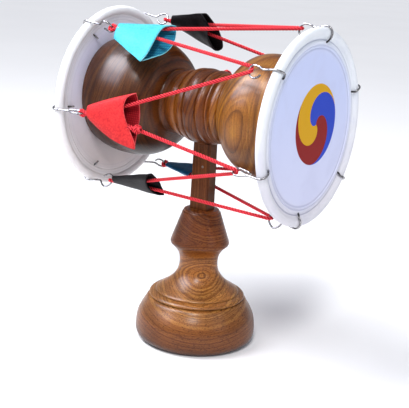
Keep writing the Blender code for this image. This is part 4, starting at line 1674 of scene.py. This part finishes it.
def make_sleeves(lacing: Lacing) -> None:
    """Make the six sleeves, each with the shape that its own folds have taken.

    Args:
        lacing: The cord that they are on.
    """
    red = DyedLeather("red_leather", outside="#DA3636", inside="#7E0812", edge="#E86466",
                      speck="#B41E28")
    black = DyedLeather("black_leather", outside="#0F0C0E", inside="#0A0709", edge="#262326",
                        speck="#242124")
    turquoise = DyedLeather("turquoise_leather", outside="#56C4D6", inside="#17688F",
                            edge="#8FE2EC", speck="#3CAEC6")
    blue = DyedLeather("blue_leather", outside="#154F76", inside="#0E3450", edge="#2C6A8E",
                       speck="#1F6590")
    sleeves = [
        LeatherSleeve(
            "red_back", 0, red, (5.6, -6.0, 0.0), (5.6, 4.6, 0.0),
            [(29.0, -20.4, 0.0), (31.0, -19.2, 2.6), (35.0, -12.0, 4.6), (38.0, -2.0, 5.0),
             (40.0, 8.0, 4.4), (42.0, 16.0, 0.6)],
            [(41.0, 12.0, -3.4), (40.0, 4.0, -4.6), (37.6, -4.0, -4.8), (33.6, -14.0, -3.6)]),
        LeatherSleeve(
            "black_top", 1, black, (6.5, -6.6, 0.0), (3.2, 3.4, 0.0),
            [(37.4, -21.4, -1.0), (38.6, -18.0, 2.2), (39.2, -10.0, 3.2), (40.2, -1.0, 3.4),
             (40.4, 5.0, 3.4), (39.6, 12.0, 3.4), (38.0, 20.0, 3.2), (36.4, 24.6, 2.0),
             (34.2, 25.0, -0.6)],
            [(34.2, 20.0, -3.4), (35.0, 13.0, -4.2), (35.5, 6.0, -4.6), (36.2, 0.0, -4.8),
             (38.8, -7.0, -4.8), (42.0, -13.0, -4.4), (40.6, -18.4, -3.4)], belly=0.04),
        LeatherSleeve(
            "turquoise", 2, turquoise, (3.6, -4.6, 0.9), (5.6, 8.4, -3.2),
            [(40.4, -14.6, -0.6), (39.6, -9.0, 2.2), (38.2, -3.0, 3.4), (39.2, 7.2, 3.0),
             (40.4, 17.6, 0.8), (39.2, 22.7, -3.0), (35.9, 26.9, -7.0)],
            [(35.0, 20.0, -9.8), (38.6, 15.4, -10.0), (43.0, 9.4, -9.4), (44.6, 1.7, -8.2),
             (43.8, -5.1, -6.6), (41.8, -11.4, -3.8)], narrow_depth=2.4, belly=0.02),
        LeatherSleeve(
            "red_front", 3, red, (4.8, -5.2, 0.0), (5.4, 3.6, 0.0),
            [(41.9, -14.2, 0.0), (40.0, -13.4, 2.4), (36.6, -10.2, 3.9), (35.2, -4.6, 4.3),
             (36.6, 1.6, 4.3), (39.2, 7.8, 4.1), (41.8, 12.7, 3.7), (44.0, 17.4, 3.0),
             (43.7, 21.6, 1.6)],
            [(42.2, 17.0, -1.4), (41.9, 12.0, -2.8), (42.2, 6.2, -3.8), (42.5, 1.1, -4.3),
             (42.3, -5.2, -4.1), (41.4, -9.8, -3.2)], belly=0.32),
        LeatherSleeve(
            "black_bottom", 4, black, (4.6, -6.4, 0.4), (3.4, 2.4, -0.4),
            [(43.0, -15.4, 0.2), (40.8, -12.6, 2.2), (37.8, -8.0, 2.6), (34.6, -1.0, 2.8),
             (33.6, 5.6, 2.8), (34.4, 11.0, 2.2), (36.0, 15.6, -0.6)],
            [(36.6, 12.6, -2.8), (37.6, 8.0, -3.2), (39.1, 4.0, -3.3), (41.4, -3.0, -3.3),
             (42.8, -9.0, -2.9), (44.0, -13.6, -1.6)], belly=0.06, narrow_depth=2.3),
        LeatherSleeve(
            "blue_bottom", 5, blue, (4.0, -3.6, 1.0), (4.0, 3.6, -1.0),
            [(31.0, -9.6, 1.6), (30.6, -6.6, 2.7), (30.4, 0.0, 2.1), (30.6, 7.0, 1.9),
             (31.0, 9.4, -1.6)],
            [(31.2, 6.6, -2.7), (31.4, 0.0, -2.1), (31.2, -7.0, -1.9)], belly=0.02,
            narrow_depth=1.9),
    ]
    for sleeve in sleeves:
        sleeve.build(lacing.vee(sleeve.hook))


@dataclass
class Studio:
    """The pale floor, the soft lights and the camera at the photograph's place."""

    azimuth: float = 33.695
    elevation: float = 14.916
    roll: float = 3.4695
    place: Vector = field(default_factory=lambda: Vector((359.798, -536.550, 269.336)) * MM)
    focal_pixels: float = 970.28
    frame_pixels: float = 409.0
    sensor: float = 36.0
    nearest: float = 0.01
    floor_size: float = 6.0
    sky: str = "#F2F5FF"
    sky_strength: float = 0.48
    # the sun's way down, its strength, and its width in degrees, which softens the shadows
    sun_way: Spot = (-0.38, 0.75, -0.95)
    sun_strength: float = 1.65
    sun_width: float = 15.0
    # where the softboxes point
    aim: Spot = (0.0, 0.0, 0.13)

    def build(self) -> None:
        """Set up everything round the drum."""
        self._camera()
        self._floor()
        self._sun()
        self._softbox("top_softbox", (-0.48, -0.38, 1.0), size=0.6, power=12.5, color="#FBFCFF")
        self._softbox("side_softbox", (1.1, -0.1, 0.6), size=0.6, power=1.2, color=self.sky)
        # the broad bluish sheen on the lacquer's upper left sides, which lights nothing else
        sheen = self._softbox("sheen_softbox", (-0.52, -0.5, 0.86), size=0.85, power=20.0,
                              color="#DFE8FF")
        sheen.visible_diffuse = False
        world = bpy.data.worlds.new("pale_room")
        world.use_nodes = True
        fill_sockets(world.node_tree, world.node_tree.nodes["Background"],
                     {"Color": linear(self.sky), "Strength": self.sky_strength})
        scene = bpy.context.scene
        scene.world = world
        scene.view_settings.view_transform = "Standard"

    def _hang(self, name: str, data: bpy.types.ID) -> bpy.types.Object:
        """Put a camera or a light in the scene.

        Args:
            name: Its name.
            data: What it is.

        Returns:
            The new object.
        """
        thing = bpy.data.objects.new(name, data)
        bpy.context.scene.collection.objects.link(thing)
        return thing

    def _camera(self) -> None:
        """Place the camera."""
        data = bpy.data.cameras.new("photo_camera")
        data.sensor_width = self.sensor
        data.lens = self.focal_pixels / self.frame_pixels * self.sensor
        data.clip_start = self.nearest
        camera = self._hang("photo_camera", data)
        turn = Matrix.Rotation(math.radians(self.azimuth), 4, "Z")
        tilt = Matrix.Rotation(math.radians(90.0 - self.elevation), 4, "X")
        roll = Matrix.Rotation(math.radians(self.roll), 4, "Z")
        camera.matrix_world = Matrix.Translation(self.place) @ turn @ tilt @ roll
        bpy.context.scene.camera = camera

    def _floor(self) -> None:
        """Lay the floor, of matt paper with hardly seen clouds."""
        bm = bmesh.new()
        bmesh.ops.create_grid(bm, x_segments=2, y_segments=2, size=self.floor_size)
        made, place = new_material("pale_floor")
        tree = made.node_tree
        cloud = put(tree, "ShaderNodeTexNoise", {"Vector": place, "Scale": 3.0, "Detail": 2.0})
        color = put(tree, "ShaderNodeValToRGB", {0: cloud.outputs[0]},
                    [(0.3, linear("#F6F6F7")), (0.7, linear("#F9F9FA"))])
        dress_shader(made, color.outputs[0], 0.9, None, {"Specular IOR Level": 0.1})
        finish_piece("studio_floor", bm, [made], crease=30.0, flip_check=False)

    def _sun(self) -> None:
        """Hang the far, broad lamp that lights drum and floor alike, from above the camera."""
        data = bpy.data.lights.new("key_lamp", "SUN")
        data.energy = self.sun_strength
        data.angle = math.radians(self.sun_width)
        lamp = self._hang("key_lamp", data)
        lamp.rotation_euler = Vector(self.sun_way).to_track_quat("-Z", "Y").to_euler()

    def _softbox(self, name: str, place: Spot, size: float, power: float,
                 color: str) -> bpy.types.Object:
        """Hang a softbox that points at the drum.

        Args:
            name: The light's name.
            place: Where it hangs.
            size: Its side.
            power: Its power in watts.
            color: Its colour.

        Returns:
            The light, in the scene.
        """
        data = bpy.data.lights.new(name, "AREA")
        data.shape = "SQUARE"
        data.size = size
        data.energy = power
        data.color = linear(color)[:3]
        lamp = self._hang(name, data)
        lamp.location = place
        way = Vector(self.aim) - Vector(place)
        lamp.rotation_euler = way.to_track_quat("-Z", "Y").to_euler()
        return lamp


def main() -> None:
    """Build and dress the drum, then set up the studio."""
    logging.basicConfig(level=logging.INFO, format="%(name)s: %(message)s")
    layout = DrumLayout()
    TurnedStand().build()
    TurnedBody(layout).build()
    left = DrumSkin("left_drum_skin", face="#E6E6FC", low="#DED4D2", edge="#F6F7FA",
                    shaded_low_edge="#E6E2E2", stain="#A39CA0", stain_share=0.22, groove_shade_share=0.2)
    right = DrumSkin("right_drum_skin", face="#C6CFF0", low="#D0D3EC", edge="#E4E8EC",
                     shaded_low_edge="#D6D4DA", stain="#B9BBD6", stain_share=0.25, groove_shade_share=0.85,
                     swirl=PaintedSwirl())
    DrumHead(layout, Side.LEFT, left).build()
    DrumHead(layout, Side.RIGHT, right).build()
    hooks = WireHooks(layout)
    hooks.build()
    lacing = Lacing(layout, hooks)
    lacing.build()
    make_sleeves(lacing)
    Studio().build()


if __name__ == "__main__":
    main()
